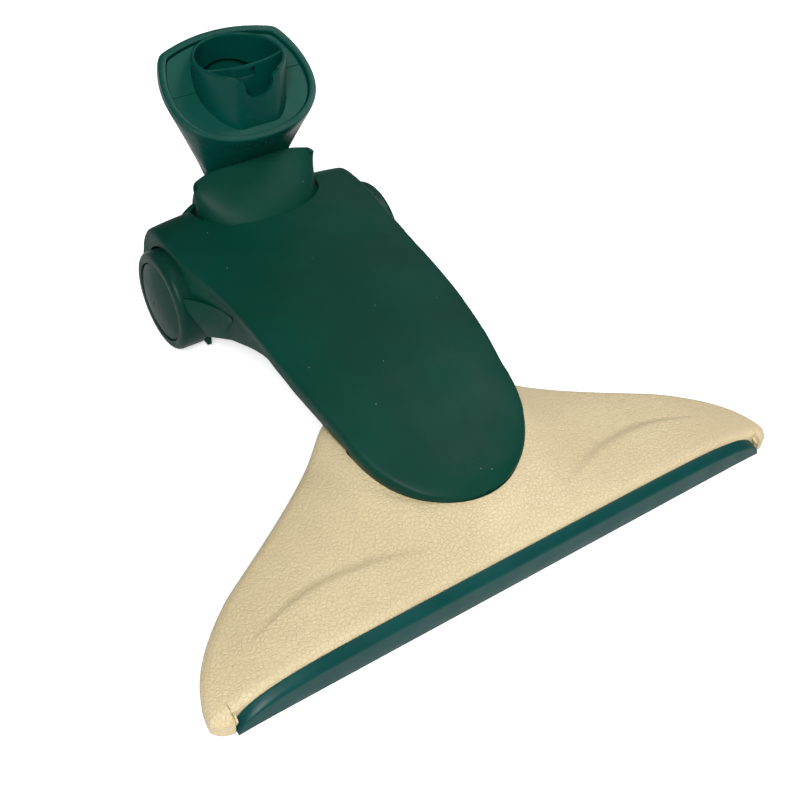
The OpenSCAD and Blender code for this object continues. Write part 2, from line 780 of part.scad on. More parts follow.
module axle_stub_left() {
    mirror([1, 0, 0]) axle_stub_right();
}

// Elbow and connector

stem_mid = 266.8;
stem_half_w = 24;
stem_half_d = 17.3;
stem_top = 78;
spigot_top = 86;

// A rounded box section with n points at each quarter turn.
function round_ring(mid, z, a, b, power = 3) =
    [for (i = [0:35]) let (t = -i * 10, c = cos(t), s = sin(t))
        [a * sign(c) * abs(c) ^ (2 / power), fy(mid) + b * sign(s) * abs(s) ^ (2 / power), z]];

module stem(inset) {
    loft([
        round_ring(pivot_from_front, pivot_h + 4, 22 - inset, 18 - inset),
        round_ring(252, 60, stem_half_w - inset, 19.5 - inset),
        round_ring(259.5, 70, stem_half_w - inset, 18.3 - inset),
        round_ring(stem_mid, stem_top, stem_half_w - inset, stem_half_d - inset)
    ]);
}

lip_base = neck_top - pivot_h;

module front_lip() {
    sunk = 1.2;
    foot_of_lip = [for (i = [-8:8]) let (x = i / 8 * (drum_half_w - 0.5))
        [x, -sqrt(max(1, (drum_at(x) - sunk) ^ 2 - (lip_base - sunk) ^ 2))]];
    hull() {
        translate([0, fy(pivot_from_front), neck_top - sunk])
            linear_extrude(height = 0.4) polygon(concat(foot_of_lip, [[20, 2], [-20, 2]]));
        translate([-lip_half_w, fy(stem_mid - stem_half_d - 2.4), lip_top - 1])
            cube([2 * lip_half_w, 2.4, 1]);
    }
}

module tilt_elbow() {
    color(green) difference() {
        union() {
            drum();
            stem(0);
            front_lip();
            loft([for (z = [stem_top - 1, spigot_top])
                round_ring(stem_mid, z, stem_half_w - wall - 0.3, stem_half_d - wall - 0.3)]);
        }
        drum(-wall);
        stem(wall + 2);
        loft([for (z = [stem_top - 2, spigot_top + 1])
            round_ring(stem_mid, z, stem_half_w - 2 * wall, stem_half_d - 2 * wall)]);
        translate([-22, fy(pivot_from_front - drum_r - 2), pivot_h - 25]) cube([44, 20, 20]);
        both_sides() bar_x(20, 30, pivot_from_front, pivot_h, pivot_d + 2 * run_gap);
    }
}

module pivot_pin_right() {
    color("silver") bar_x(drum_half_w - wall - 1, channel_half_w + 9 - drum_half_w + wall + 1,
        pivot_from_front, pivot_h, pivot_d);
}

module pivot_pin_left() {
    mirror([1, 0, 0]) pivot_pin_right();
}

// Half of the rim's shield outline, from the middle of its front to the
// middle of its rear, as [x, reach].
function shield_half(inset) =
    let (w = rim_half_w - inset, f = rim_front - inset, c = rim_corner - inset * 0.8,
        cw = rim_corner_half_w - inset * 0.9, r = rim_rear - inset)
    concat(
        [for (a = [0:10:90]) [w * sin(a) ^ 0.87, -f * cos(a) ^ 0.87]],
        [for (k = [1:4]) [w - (w - cw) * (k / 4) ^ 1.7, c * k / 4]],
        [for (k = [1:5]) [cw * (1 - k / 5), c + (r - c) * (1 - (1 - k / 5) ^ 2)]]
    );

function base_half(inset) =
    let (w = stem_half_w - inset, b = stem_half_d - inset,
        turns = concat([for (a = [0:10:90]) a], [for (k = [1:4]) 90 + 10 * k],
            [for (k = [1:5]) 130 + 10 * k]))
    [for (a = turns) [w * abs(sin(a)) ^ 0.67, -b * sign(cos(a)) * abs(cos(a)) ^ 0.67]];

function on_rim(q, rise) = [
    q[0],
    fy(rim_from_front) + q[1] * cos(rim_tilt) - rise * sin(rim_tilt),
    rim_h + q[1] * sin(rim_tilt) + rise * cos(rim_tilt)
];
function on_stem(q, z) = [q[0], fy(stem_mid) + q[1], z];

function connector_ring(t, inset, rise) =
    let (a = mirrored(base_half(inset)), b = mirrored(shield_half(inset)))
    [for (i = [0:len(b) - 1])
        (1 - t) * on_stem(a[i], stem_top) + t * on_rim(b[i], rise)];

module connector_shell() {
    ledge = plate_drop + plate_t;
    color(green) difference() {
        loft([
            connector_ring(1, 0, 0), connector_ring(1, 0, -rim_band),
            connector_ring(0.5, 0, -rim_band), connector_ring(0, 0, -rim_band)
        ]);
        loft([
            connector_ring(1, wall + 1, 1), connector_ring(1, wall + 1, -ledge),
            connector_ring(1, wall + 2.4, -ledge), connector_ring(1, wall + 2.4, -ledge - 1.5),
            connector_ring(0.94, wall, -rim_band - 2), connector_ring(0.5, wall, -rim_band - 2),
            connector_ring(-0.05, wall, -rim_band - 2)
        ]);
    }
}

module tube_section(inset) {
    intersection() {
        circle(d = tube_d - 2 * inset, $fn = 96);
        translate([-50, -tube_flat + inset]) square([100, 100]);
    }
}

plate_drop = 1.8;
plate_t = 2;
divider_at = -10.5;
divider_bow = 4;
divider_t = 1.6;

// The slanted plate round the tube, the tube itself and the wall across it.
module inner_tube() {
    chord = tube_d / 2 - tube_wall - 1.5;
    bow_r = (chord ^ 2 + divider_bow ^ 2) / (2 * divider_bow);
    color(teal) {
        difference() {
            union() {
                intersection() {
                    translate([0, fy(tube_from_front), 70])
                        linear_extrude(height = tube_top - 70) tube_section(0);
                    tilted_block(-plate_drop - 8, 60);
                }
                tilted_plate();
            }
            translate([0, fy(tube_from_front), 60]) linear_extrude(height = 100)
                tube_section(tube_wall);
            translate([-notch_w / 2, fy(tube_from_front - tube_flat) - 5,
                tube_top - notch_depth + notch_w / 2]) cube([notch_w, 8, 30]);
            translate([0, fy(tube_from_front - tube_flat) - 5, tube_top - notch_depth + notch_w / 2])
                rotate([-90, 0, 0]) cylinder(h = 8, d = notch_w);
        }
        difference() {
            intersection() {
                translate([0, fy(tube_from_front), 95]) linear_extrude(height = tube_top - 95.5)
                    intersection() {
                        tube_section(tube_wall - 0.2);
                        translate([0, divider_at + bow_r]) difference() {
                            circle(bow_r, $fn = 128);
                            circle(bow_r - divider_t, $fn = 128);
                        }
                    }
                tilted_block(-plate_drop - 8, 60);
            }
            translate([-7, fy(tube_from_front) - 20, tube_top - 6.5]) cube([10, 20, 4]);
        }
    }
}

// The space above the rim's plane, between two heights along its normal.
module tilted_block(low, high) {
    translate([0, fy(rim_from_front), rim_h]) rotate([rim_tilt, 0, 0])
        translate([-60, -60, low]) cube([120, 120, high - low]);
}

module tilted_plate() {
    translate([0, fy(rim_from_front), rim_h]) rotate([rim_tilt, 0, 0])
        translate([0, 0, -plate_drop - plate_t]) linear_extrude(height = plate_t)
            polygon(mirrored(shield_half(wall + 1 + seam_gap)));
}

screw_head_h = 1.5;

module screw(x, d, z, length) {
    translate([x, fy(d), z]) {
        cylinder(h = length, d = screw_d);
        cylinder(h = screw_head_h, d = screw_head_d);
    }
}

sole_screw_l = 8;

module sole_screws() {
    color("silver") for (p = sole_screw_places) both_sides()
        screw(p[0], p[1], sole_clear, sole_screw_l);
}

module neck_screws() {
    color("silver") for (p = neck_screw_places) both_sides()
        screw(p[0], p[1], screw_seat(p) - screw_head_h, 11);
}

foot_cover();
sole_plate();
front_bumper();
front_brush_bar();
front_bristles();
rear_brush_bar();
rear_bristles();
lint_strip_left();
lint_strip_right();
roller_left();
roller_right();
roller_axle_left();
roller_axle_right();
neck_cowl();
neck_lower_shell();
air_duct();
wheel_left();
wheel_right();
hub_cap_left();
hub_cap_right();
axle_stub_left();
axle_stub_right();
tilt_elbow();
pivot_pin_left();
pivot_pin_right();
connector_shell();
inner_tube();
sole_screws();
neck_screws();
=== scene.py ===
"""Looks of the vacuum floor head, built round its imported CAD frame."""

import math

import bpy
import numpy as np
from mathutils import Matrix, Vector


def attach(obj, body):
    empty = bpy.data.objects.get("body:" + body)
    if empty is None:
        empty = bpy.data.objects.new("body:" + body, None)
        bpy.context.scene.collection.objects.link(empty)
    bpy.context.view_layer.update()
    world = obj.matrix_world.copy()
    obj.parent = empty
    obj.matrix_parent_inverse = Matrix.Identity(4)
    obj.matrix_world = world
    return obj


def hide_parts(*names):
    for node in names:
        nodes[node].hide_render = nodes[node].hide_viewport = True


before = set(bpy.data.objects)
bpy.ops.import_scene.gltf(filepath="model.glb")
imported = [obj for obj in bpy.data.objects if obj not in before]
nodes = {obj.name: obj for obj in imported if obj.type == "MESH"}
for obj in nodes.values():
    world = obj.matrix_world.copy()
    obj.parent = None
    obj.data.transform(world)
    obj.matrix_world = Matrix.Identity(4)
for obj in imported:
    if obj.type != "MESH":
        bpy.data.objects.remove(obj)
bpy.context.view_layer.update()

MM = 0.001
PHOTO_PIXELS = 800

# Sizes of the head in millimetres: d is the distance from the bumper's front.
FOOT_W = 310
FOOT_ROOT = 116
FOOT_FRONT_H = 20.5
FOOT_REAR_H = 13
FOOT_RIM_H = 27
WALL = 2.4
SOLE_CLEAR = 4
BUMPER_W = 292
BUMPER_T = 5
NOSE_D = 34.3
NOSE_HALF_W = 46
NOSE_BASE_HALF_W = 42
NOSE_L = 50.7
NECK_TOP = 61
CROWN = 3.5
SKIRT_HALF_W = 50.5
WHEEL_DIAMETER = 53
AXLE_D = 227
ARCH_GAP = 1.1
PIVOT_D = 246
PIVOT_H = 41
DRUM_R = 30.5
DRUM_SIDE_R = 19.5
DRUM_HALF_W = 34.5
LIP_HALF_W = 35.6
LIP_TOP = 77.5
LIP_END_D = 244.4
RIM_D = 256.5
RIM_H = 120
RIM_TILT = math.radians(30)
RIM_BAND = 4
RIM_HALF_W = 40
RIM_FRONT = 32
RIM_CORNER = 24.8
RIM_CORNER_HALF_W = 32.8
RIM_REAR = 31
CAD_RIM_REAR = 36.5
TUBE_D = 257
TUBE_DIAMETER = 46.6
TUBE_TOP = 134.5

OVERALL_L = RIM_D + CAD_RIM_REAR * math.cos(RIM_TILT) + RIM_BAND * math.sin(RIM_TILT)


def place(x, d, z):
    """A point in metres in the row frame, from its x, distance from the bumper and height."""
    return (x * MM, (d - OVERALL_L / 2) * MM, z * MM)


def smooth_curve(points):
    """The same smooth curve through [position, value] points that the CAD source uses."""
    xs = [p[0] for p in points]
    ys = [p[1] for p in points]
    last = len(points) - 1

    def slope(i):
        a, b = max(i - 1, 0), min(i + 1, last)
        return (ys[b] - ys[a]) / (xs[b] - xs[a])

    def value(x):
        i = 0
        while i < last - 1 and x >= xs[i + 1]:
            i += 1
        h = xs[i + 1] - xs[i]
        t = (x - xs[i]) / h
        return (
            (2 * t**3 - 3 * t**2 + 1) * ys[i]
            + (t**3 - 2 * t**2 + t) * h * slope(i)
            + (3 * t**2 - 2 * t**3) * ys[i + 1]
            + (t**3 - t**2) * h * slope(i + 1)
        )

    return value


def bezier(a, b, c, d, t):
    return tuple(
        (1 - t) ** 3 * a[k] + 3 * (1 - t) ** 2 * t * b[k] + 3 * (1 - t) * t**2 * c[k] + t**3 * d[k]
        for k in (0, 1)
    )


# Making meshes


def deselect_all():
    if bpy.context.object and bpy.context.object.mode != "OBJECT":
        bpy.ops.object.mode_set(mode="OBJECT")
    bpy.ops.object.select_all(action="DESELECT")


def only(obj):
    deselect_all()
    obj.select_set(True)
    bpy.context.view_layer.objects.active = obj
    return obj


def add_modifier(obj, kind, **settings):
    modifier = obj.modifiers.new(kind.title(), kind)
    for key, value in settings.items():
        setattr(modifier, key, value)
    return modifier


def apply_modifier(obj, kind, **settings):
    modifier = add_modifier(obj, kind, **settings)
    only(obj)
    bpy.ops.object.modifier_apply(modifier=modifier.name)


def grid_surface(name, rows):
    """A sheet whose vertices lie at rows[j][i], made from a grid primitive.

    Vertices at the same place are merged, such as the first and last column of a ring.
    """
    deselect_all()
    columns = len(rows[0])
    bpy.ops.mesh.primitive_grid_add(x_subdivisions=columns - 1, y_subdivisions=len(rows) - 1)
    sheet = bpy.context.object
    sheet.name = name
    sheet.data.name = name
    flat = np.array(rows, float).reshape(-1)
    sheet.data.vertices.foreach_set("co", flat)
    sheet.data.update()
    weld(sheet)
    return sheet


def weld(obj, distance=0.00002):
    only(obj)
    bpy.ops.object.mode_set(mode="EDIT")
    bpy.ops.mesh.select_all(action="SELECT")
    bpy.ops.mesh.remove_doubles(threshold=distance)
    bpy.ops.object.mode_set(mode="OBJECT")


def face_outwards(obj):
    """Turns every face away from the middle of the piece, open shells as well."""
    only(obj)
    bpy.ops.object.mode_set(mode="EDIT")
    bpy.ops.mesh.select_all(action="SELECT")
    bpy.ops.mesh.normals_make_consistent(inside=False)
    bpy.ops.object.mode_set(mode="OBJECT")
    low, high = np.min(obj.bound_box, axis=0), np.max(obj.bound_box, axis=0)
    middle = Vector(((low[0] + high[0]) / 2, (low[1] + high[1]) / 2, low[2]))
    if sum(f.area * f.normal.dot(f.center - middle) for f in obj.data.polygons) < 0:
        bpy.ops.object.mode_set(mode="EDIT")
        bpy.ops.mesh.flip_normals()
        bpy.ops.object.mode_set(mode="OBJECT")


def close_holes(obj):
    only(obj)
    bpy.ops.object.mode_set(mode="EDIT")
    bpy.ops.mesh.select_mode(type="EDGE")
    bpy.ops.mesh.select_all(action="DESELECT")
    bpy.ops.mesh.select_non_manifold(extend=False, use_boundary=True, use_wire=False,
                                     use_multi_face=False, use_non_contiguous=False,
                                     use_verts=False)
    bpy.ops.mesh.edge_face_add()
    bpy.ops.mesh.select_mode(type="VERT")
    bpy.ops.object.mode_set(mode="OBJECT")


def tube_of_rings(name, rings):
    tube = grid_surface(name, rings)
    close_holes(tube)
    face_outwards(tube)
    return tube


def smooth(obj, degrees=35):
    only(obj)
    bpy.ops.object.shade_smooth_by_angle(angle=math.radians(degrees))


def carve(obj, cutter):
    """Cuts the cutter out of obj and deletes it."""
    apply_modifier(obj, "BOOLEAN", operation="DIFFERENCE", object=cutter, solver="EXACT")
    bpy.data.objects.remove(cutter)


def block(name, low, high):
    deselect_all()
    centre = [(a + b) / 2 for a, b in zip(low, high)]
    bpy.ops.mesh.primitive_cube_add(size=1, location=centre)
    cube = bpy.context.object
    cube.name = name
    cube.scale = [b - a for a, b in zip(low, high)]
    bpy.ops.object.transform_apply(location=True, rotation=True, scale=True)
    return cube


def rod(name, centre, radius, length, sides=96):
    """A cylinder along x."""
    deselect_all()
    bpy.ops.mesh.primitive_cylinder_add(
        vertices=sides, radius=radius, depth=length, location=centre, rotation=(0, math.pi / 2, 0)
    )
    bar = bpy.context.object
    bar.name = name
    bpy.ops.object.transform_apply(location=True, rotation=True, scale=True)
    return bar


def finish_piece(obj, body, material, replaces=(), degrees=35):
    smooth(obj, degrees)
    obj.data.materials.clear()
    obj.data.materials.append(material)
    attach(obj, body)
    if replaces:
        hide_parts(*replaces)


# Finishes


class Link:
    """An output socket, so that shader maths reads as arithmetic."""

    def __init__(self, finish, socket):
        self.finish = finish
        self.socket = socket

    def math(self, operation, other, flip=False):
        pair = (other, self) if flip else (self, other)
        return self.finish.node("ShaderNodeMath", {"operation": operation}, dict(enumerate(pair)))

    def __add__(self, other):
        return self.math("ADD", other)

    __radd__ = __add__

    def __mul__(self, other):
        return self.math("MULTIPLY", other)

    __rmul__ = __mul__

    def __sub__(self, other):
        return self.math("SUBTRACT", other)

    def __rsub__(self, other):
        return self.math("SUBTRACT", other, flip=True)

    def above(self, level):
        return self.math("GREATER_THAN", level)


WORN_EDGE = 0.0005


class Finish:
    """One material: its constants sit on the shader, its patterns are linked to it."""

    def __init__(self, name, **constants):
        self.material = bpy.data.materials.new(name)
        self.material.use_nodes = True
        self.tree = self.material.node_tree
        self.tree.nodes.clear()
        self.output = self.tree.nodes.new("ShaderNodeOutputMaterial")
        self.shader = self.tree.nodes.new("ShaderNodeBsdfPrincipled")
        self.tree.links.new(self.shader.outputs[0], self.output.inputs["Surface"])
        for key, value in constants.items():
            socket = key.replace("_", " ").title().replace("Ior", "IOR")
            self.shader.inputs[socket].default_value = value
        self.place = self.node("ShaderNodeTexCoord", output="Object")

    def node(self, kind, settings=None, inputs=None, output=0):
        made = self.tree.nodes.new(kind)
        for key, value in (settings or {}).items():
            setattr(made, key, value)
        for key, value in (inputs or {}).items():
            if isinstance(value, Link):
                self.tree.links.new(value.socket, made.inputs[key])
            else:
                made.inputs[key].default_value = value
        return Link(self, made.outputs[output])

    def feed(self, name, link):
        self.tree.links.new(link.socket, self.shader.inputs[name])

    def noise(self, scale, detail):
        return self.node("ShaderNodeTexNoise", None,
                         {"Vector": self.place, "Scale": scale, "Detail": detail}, "Fac")

    def cells(self, scale, feature="F1"):
        return self.node("ShaderNodeTexVoronoi", {"feature": feature},
                         {"Vector": self.place, "Scale": scale}, "Distance")

    def span(self, link, low, high, to_low=0.0, to_high=1.0):
        return self.node(
            "ShaderNodeMapRange",
            {"interpolation_type": "SMOOTHSTEP"},
            {"Value": link, "From Min": low, "From Max": high, "To Min": to_low, "To Max": to_high},
            "Result",
        )

    def blend(self, factor, a, b):
        return self.node("ShaderNodeMix", {"data_type": "RGBA"}, {"Factor": factor, 6: a, 7: b}, 2)

    def shaded(self, colour, shade):
        """A colour made lighter or darker by a value near 1."""
        grey = self.node("ShaderNodeCombineColor", None, {0: shade, 1: shade, 2: shade})
        return self.node("ShaderNodeMix", {"data_type": "RGBA", "blend_type": "MULTIPLY"},
                         {"Factor": 1.0, 6: rgb(*colour), 7: grey}, 2)

    def edge(self):
        """How far a spot is turned by the rounding of an edge near it: 0 on a flat surface."""
        rounded = self.node("ShaderNodeBevel", {"samples": 4}, {"Radius": WORN_EDGE}, "Normal")
        flat = self.node("ShaderNodeNewGeometry", output="Normal")
        agree = self.node("ShaderNodeVectorMath", {"operation": "DOT_PRODUCT"},
                          {0: rounded, 1: flat}, "Value")
        return 1 - agree

    def relief(self, height, strength, distance, radius=0.0004):
        rounded = self.node("ShaderNodeBevel", {"samples": 4}, {"Radius": radius}, "Normal")
        bump = self.node("ShaderNodeBump", None,
                         {"Height": height, "Strength": strength, "Distance": distance,
                          "Normal": rounded}, "Normal")
        self.feed("Normal", bump)


def rgb(red, green, blue):
    return (red, green, blue, 1.0)


LOW_SHINE = 0.14


def grained_plastic(name, colour, roughness, specks=0.0):
    """Moulded plastic with a fine spark-eroded grain and faint handling marks."""
    f = Finish(name, specular_ior_level=LOW_SHINE)
    grit = f.cells(1400.0)
    fine = f.noise(2380.0, 2.0)
    cloud = f.noise(22.0, 3.0)
    base = f.shaded(colour, f.span(cloud, 0.3, 0.7, 0.9, 1.1))
    if specks:
        dots = f.cells(260.0)
        chosen = f.noise(95.0, 0.0).above(0.72)
        mark = f.span(dots, 0.05, 0.09, 1.0, 0.0) * chosen * specks
        base = f.blend(mark, base, rgb(0.35, 0.42, 0.38))
    worn = f.span(f.edge(), 0.12, 0.4) * f.span(f.noise(160.0, 3.0), 0.5, 0.7)
    base = f.blend(worn * 0.12, base, rgb(*[0.25 * c + 0.08 for c in colour]))
    f.feed("Base Color", base)
    f.feed("Roughness", f.span(f.noise(60.0, 4.0), 0.3, 0.7, roughness - 0.04, roughness + 0.05))
    f.relief(grit + fine * 0.6, 0.45, 0.00006)
    return f.material


def satin_plastic(name, colour, roughness, wear, wear_colour=(0.35, 0.4, 0.36), shine=LOW_SHINE):
    """Smoother moulded plastic: faint waves, fine rubbing marks and pale worn edges."""
    f = Finish(name, specular_ior_level=shine)
    cloud = f.noise(30.0, 2.0)
    base = f.shaded(colour, f.span(cloud, 0.3, 0.7, 0.92, 1.08))
    nicks = f.span(f.noise(420.0, 2.0), 0.55, 0.62) * f.span(f.noise(38.0, 1.0), 0.62, 0.7)
    rubbed = f.span(f.edge(), 0.08, 0.3) * nicks
    base = f.blend(rubbed * wear, base, rgb(*wear_colour))
    f.feed("Base Color", base)
    f.feed("Roughness", f.span(f.noise(85.0, 5.0), 0.3, 0.7, roughness - 0.05, roughness + 0.07))
    f.relief(f.noise(700.0, 3.0) + f.noise(90.0, 2.0) * 2.0, 0.25, 0.00005)
    return f.material


def leather_grained_plastic(name):
    """The foot's cream plastic, moulded with a fine leather grain and a little soiled."""
    f = Finish(name, specular_ior_level=0.5)
    warp = f.noise(240.0, 2.0)
    pebbles = f.cells(850.0, "SMOOTH_F1")
    creases = f.cells(480.0, "DISTANCE_TO_EDGE")
    cloud = f.noise(14.0, 3.0)
    blush = f.noise(9.0, 1.0)
    base = f.blend(f.span(cloud, 0.35, 0.65), rgb(0.75, 0.615, 0.365), rgb(0.81, 0.675, 0.41))
    base = f.blend(f.span(blush, 0.45, 0.7) * 0.35, base, rgb(0.76, 0.6, 0.38))
    grime = f.span(pebbles, 0.25, 0.6) * f.span(f.noise(45.0, 4.0), 0.5, 0.75) * 0.16
    base = f.blend(grime, base, rgb(0.45, 0.36, 0.22))
    dots = f.span(f.cells(150.0), 0.04, 0.07, 1.0, 0.0) * f.noise(70.0, 0.0).above(0.68)
    base = f.blend(dots * 0.35, base, rgb(0.3, 0.24, 0.16))
    f.feed("Base Color", base)
    f.feed("Roughness", f.span(warp, 0.3, 0.7, 0.46, 0.58))
    f.relief(pebbles * 0.8 + f.span(creases, 0.0, 0.12) * 0.7 + warp * 0.5, 0.8, 0.0003, 0.0006)
    return f.material


def pile_fabric(name, colour):
    """A short pile, pale in the middle of each tuft and dark where the tufts meet."""
    f = Finish(name, roughness=0.9, sheen_weight=0.4)
    tufts = f.cells(1600.0)
    f.feed("Base Color", f.blend(f.span(tufts, 0.0, 0.7), rgb(*[c * 1.6 for c in colour]),
                                 rgb(*[c * 0.4 for c in colour])))
    f.relief(tufts, 0.9, 0.0004)
    return f.material


def bristle_fibre(name, colour):
    """Stiff dark hair with paler streaks."""
    f = Finish(name, roughness=0.5)
    along = f.noise(500.0, 3.0)
    f.feed("Base Color", f.blend(f.span(along, 0.3, 0.7), rgb(*colour),
                                 rgb(*[c * 2.2 for c in colour])))
    return f.material


def turned_steel(name):
    """Bare metal with fine turning marks."""
    f = Finish(name, metallic=1.0)
    rings = f.noise(900.0, 3.0)
    f.feed("Base Color", f.blend(f.span(rings, 0.3, 0.7), rgb(0.5, 0.5, 0.5), rgb(0.62, 0.62, 0.6)))
    f.feed("Roughness", f.span(rings, 0.3, 0.7, 0.25, 0.4))
    f.relief(rings, 0.2, 0.00003, 0.0002)
    return f.material


cowl_green = grained_plastic("cowl_green", (0.001, 0.046, 0.031), 0.5, specks=0.5)
shell_green = grained_plastic("shell_green", (0.001, 0.04, 0.028), 0.45)
wheel_green = satin_plastic("wheel_green", (0.002, 0.036, 0.026), 0.4, 0.3)
connector_green = satin_plastic("connector_green", (0.0005, 0.06, 0.046), 0.3, 0.0)
# The slanted plate is lighter and greyer than connector_green: its own green with a painted
# reflection of the bright room above and behind it.
plate_green_painted_sheen = satin_plastic("plate_green_painted_sheen", (0.004, 0.07, 0.052), 0.42, 0.4)
bumper_teal = satin_plastic("bumper_teal", (0.002, 0.06, 0.056), 0.4, 0.3, (0.08, 0.2, 0.18), 0.2)
cream = leather_grained_plastic("cream_grain")
black_plastic = grained_plastic("black_plastic", (0.018, 0.018, 0.02), 0.5)
duct_plastic = grained_plastic("duct_plastic", (0.03, 0.03, 0.033), 0.55)
roller_plastic = grained_plastic("roller_plastic", (0.04, 0.042, 0.045), 0.45)
lint_red = pile_fabric("lint_red", (0.2, 0.015, 0.015))
bristle_black = bristle_fibre("bristle_black", (0.015, 0.014, 0.013))
steel = turned_steel("turned_steel")

NODE_FINISH = {
    "foot_cover": cream,
    "sole_plate": black_plastic,
    "front_bumper": bumper_teal,
    "front_brush_bar": black_plastic,
    "rear_brush_bar": black_plastic,
    "front_bristles": bristle_black,
    "rear_bristles": bristle_black,
    "lint_strip_left": lint_red,
    "lint_strip_right": lint_red,
    "roller_left": roller_plastic,
    "roller_right": roller_plastic,
    "roller_axle_left": steel,
    "roller_axle_right": steel,
    "neck_cowl": cowl_green,
    "neck_lower_shell": shell_green,
    "air_duct": duct_plastic,
    "wheel_left": wheel_green,
    "wheel_right": wheel_green,
    "hub_cap_left": wheel_green,
    "hub_cap_right": wheel_green,
    "axle_stub_left": steel,
    "axle_stub_right": steel,
    "tilt_elbow": cowl_green,
    "pivot_pin_left": steel,
    "pivot_pin_right": steel,
    "connector_shell": connector_green,
    "inner_tube": connector_green,
    "sole_screws": steel,
    "neck_screws": steel,
}
for node_name, node_finish in NODE_FINISH.items():
    nodes[node_name].data.materials.clear()
    nodes[node_name].data.materials.append(node_finish)


# Foot

FRONT_LINE = BUMPER_T - 0.2
TIP_D = 9
KNEE = (FOOT_W / 2 * 0.784, FOOT_ROOT * 0.478)
ROOT_END = FOOT_ROOT + 14
BUMPER_END = BUMPER_W / 2 + 0.4
NOSE_MID = NOSE_D + NOSE_L
ROLL_OFF = 5.0
ROLL_DROP = 3.6

foot_rim_height = smooth_curve([
    (0, FOOT_RIM_H), (NOSE_D, FOOT_RIM_H), (55, FOOT_RIM_H + 0.5), (75, FOOT_RIM_H + 3),
    (95, FOOT_RIM_H + 2), (FOOT_ROOT + 20, FOOT_RIM_H - 2),
])


def foot_rear_line(steps):
    """The rear outline of the right half as (x, d), from the middle to the wing tip."""
    line = [(0, ROOT_END), (10, ROOT_END), (20, ROOT_END), (28, ROOT_END)]
    line += [bezier(KNEE, (KNEE[0] - 17.5, KNEE[1] + 12), (56, FOOT_ROOT - 20), (33, FOOT_ROOT),
                    1 - i / steps) for i in range(steps + 1)]
    line += [bezier((FOOT_W / 2, TIP_D), (FOOT_W / 2 - 2, TIP_D + 18),
                    (KNEE[0] + 17.5, KNEE[1] - 14), KNEE, 1 - i / steps)
             for i in range(1, steps + 1)]
    return line


def foot_front(x):
    """The front outline: straight behind the bumper, then round to the wing tip."""
    over = (abs(x) - BUMPER_END) / (FOOT_W / 2 - BUMPER_END + 0.5)
    if over <= 0:
        return FRONT_LINE
    return TIP_D - (TIP_D - 1.2) * math.sqrt(max(0.0, 1 - over**2))


# The sunken crescent on each wing: its crease, where it starts and ends, and its depth
CRESCENT_START = 34
CRESCENT_END = 126
CRESCENT_DEPTH = 2.0
CRESCENT_FADE = 26
crescent_line = smooth_curve([(26, 19), (48, 26), (66, 31), (95, 33.4), (127, 25.7), (135, 21.5)])


def crescent_drop(x, d):
    """The step that sinks behind the curved crease on each wing."""
    along = (abs(x) - CRESCENT_START) / (CRESCENT_END - CRESCENT_START)
    if not 0 < along < 1:
        return 0.0
    swell = math.sin(math.pi * along) ** 0.8
    width = 0.4 + 4.2 * swell
    behind = d - crescent_line(abs(x))
    if behind <= 0:
        return 0.0
    depth = CRESCENT_DEPTH * swell
    if behind <= width:
        return depth * behind / width
    return depth * math.exp(-((behind - width) / CRESCENT_FADE) ** 2)


def soft_front(x):
    """The front outline without the step at the bumper's end."""
    return float(np.interp(abs(x), [BUMPER_END - 7, BUMPER_END - 1, BUMPER_END + 4, FOOT_W / 2],
                           [FRONT_LINE, 4.0, 3.4, 6.4]))


def edge_distances(points):
    """How far each (x, d) lies from the foot's outline, both taken on the right half."""
    line = foot_rear_line(44) + [(x, soft_front(x)) for x in np.linspace(FOOT_W / 2, 0, 160)]
    a, b = np.array(line[:-1], float), np.array(line[1:], float)
    run = b - a
    length = np.maximum((run**2).sum(axis=1), 1e-9)
    out = []
    for x, d in points:
        p = np.array((abs(x), d))
        t = np.clip(((p - a) * run).sum(axis=1) / length, 0, 1)
        near = float(np.sqrt((((a + run * t[:, None]) - p) ** 2).sum(axis=1)).min())
        out.append(near if d > soft_front(x) else 0.0)
    return out


def foot_height(x, d, rear_d, from_edge=0.0):
    """The top's height: a plain slope, a swelling round the neck, a rolled edge, the crescents."""
    front_d = soft_front(x)
    v = max(0.0, (d - front_d) / max(rear_d - front_d, 1))
    front = FOOT_FRONT_H * (1 - 0.4 * (abs(x) / (FOOT_W / 2)) ** 6)
    rear = FOOT_REAR_H + 12 * math.exp(-((max(0, abs(x) - 25) / 32) ** 2))
    bulge = 5.5 * (1 - (x / FOOT_W * 2) ** 2) * 4 * v * (1 - v)
    plain = front * (1 - v) + rear * v + bulge
    q = math.hypot(x / NOSE_BASE_HALF_W, (NOSE_MID - d) / NOSE_L if d < NOSE_MID else 0)
    near = 1 if q < 1 else math.exp(-(((q - 1) / 0.2) ** 2))
    edge = min(1, from_edge / ROLL_OFF)
    height = plain + (foot_rim_height(d) - plain) * near
    height -= ROLL_DROP * (1 - math.sqrt(1 - (1 - edge) ** 2))
    return height - crescent_drop(x, d)


FOOT_ROWS = 46
ROLL_STEPS = [ROLL_OFF * k for k in (0, 0.03, 0.1, 0.2, 0.34, 0.52, 0.74, 1)]


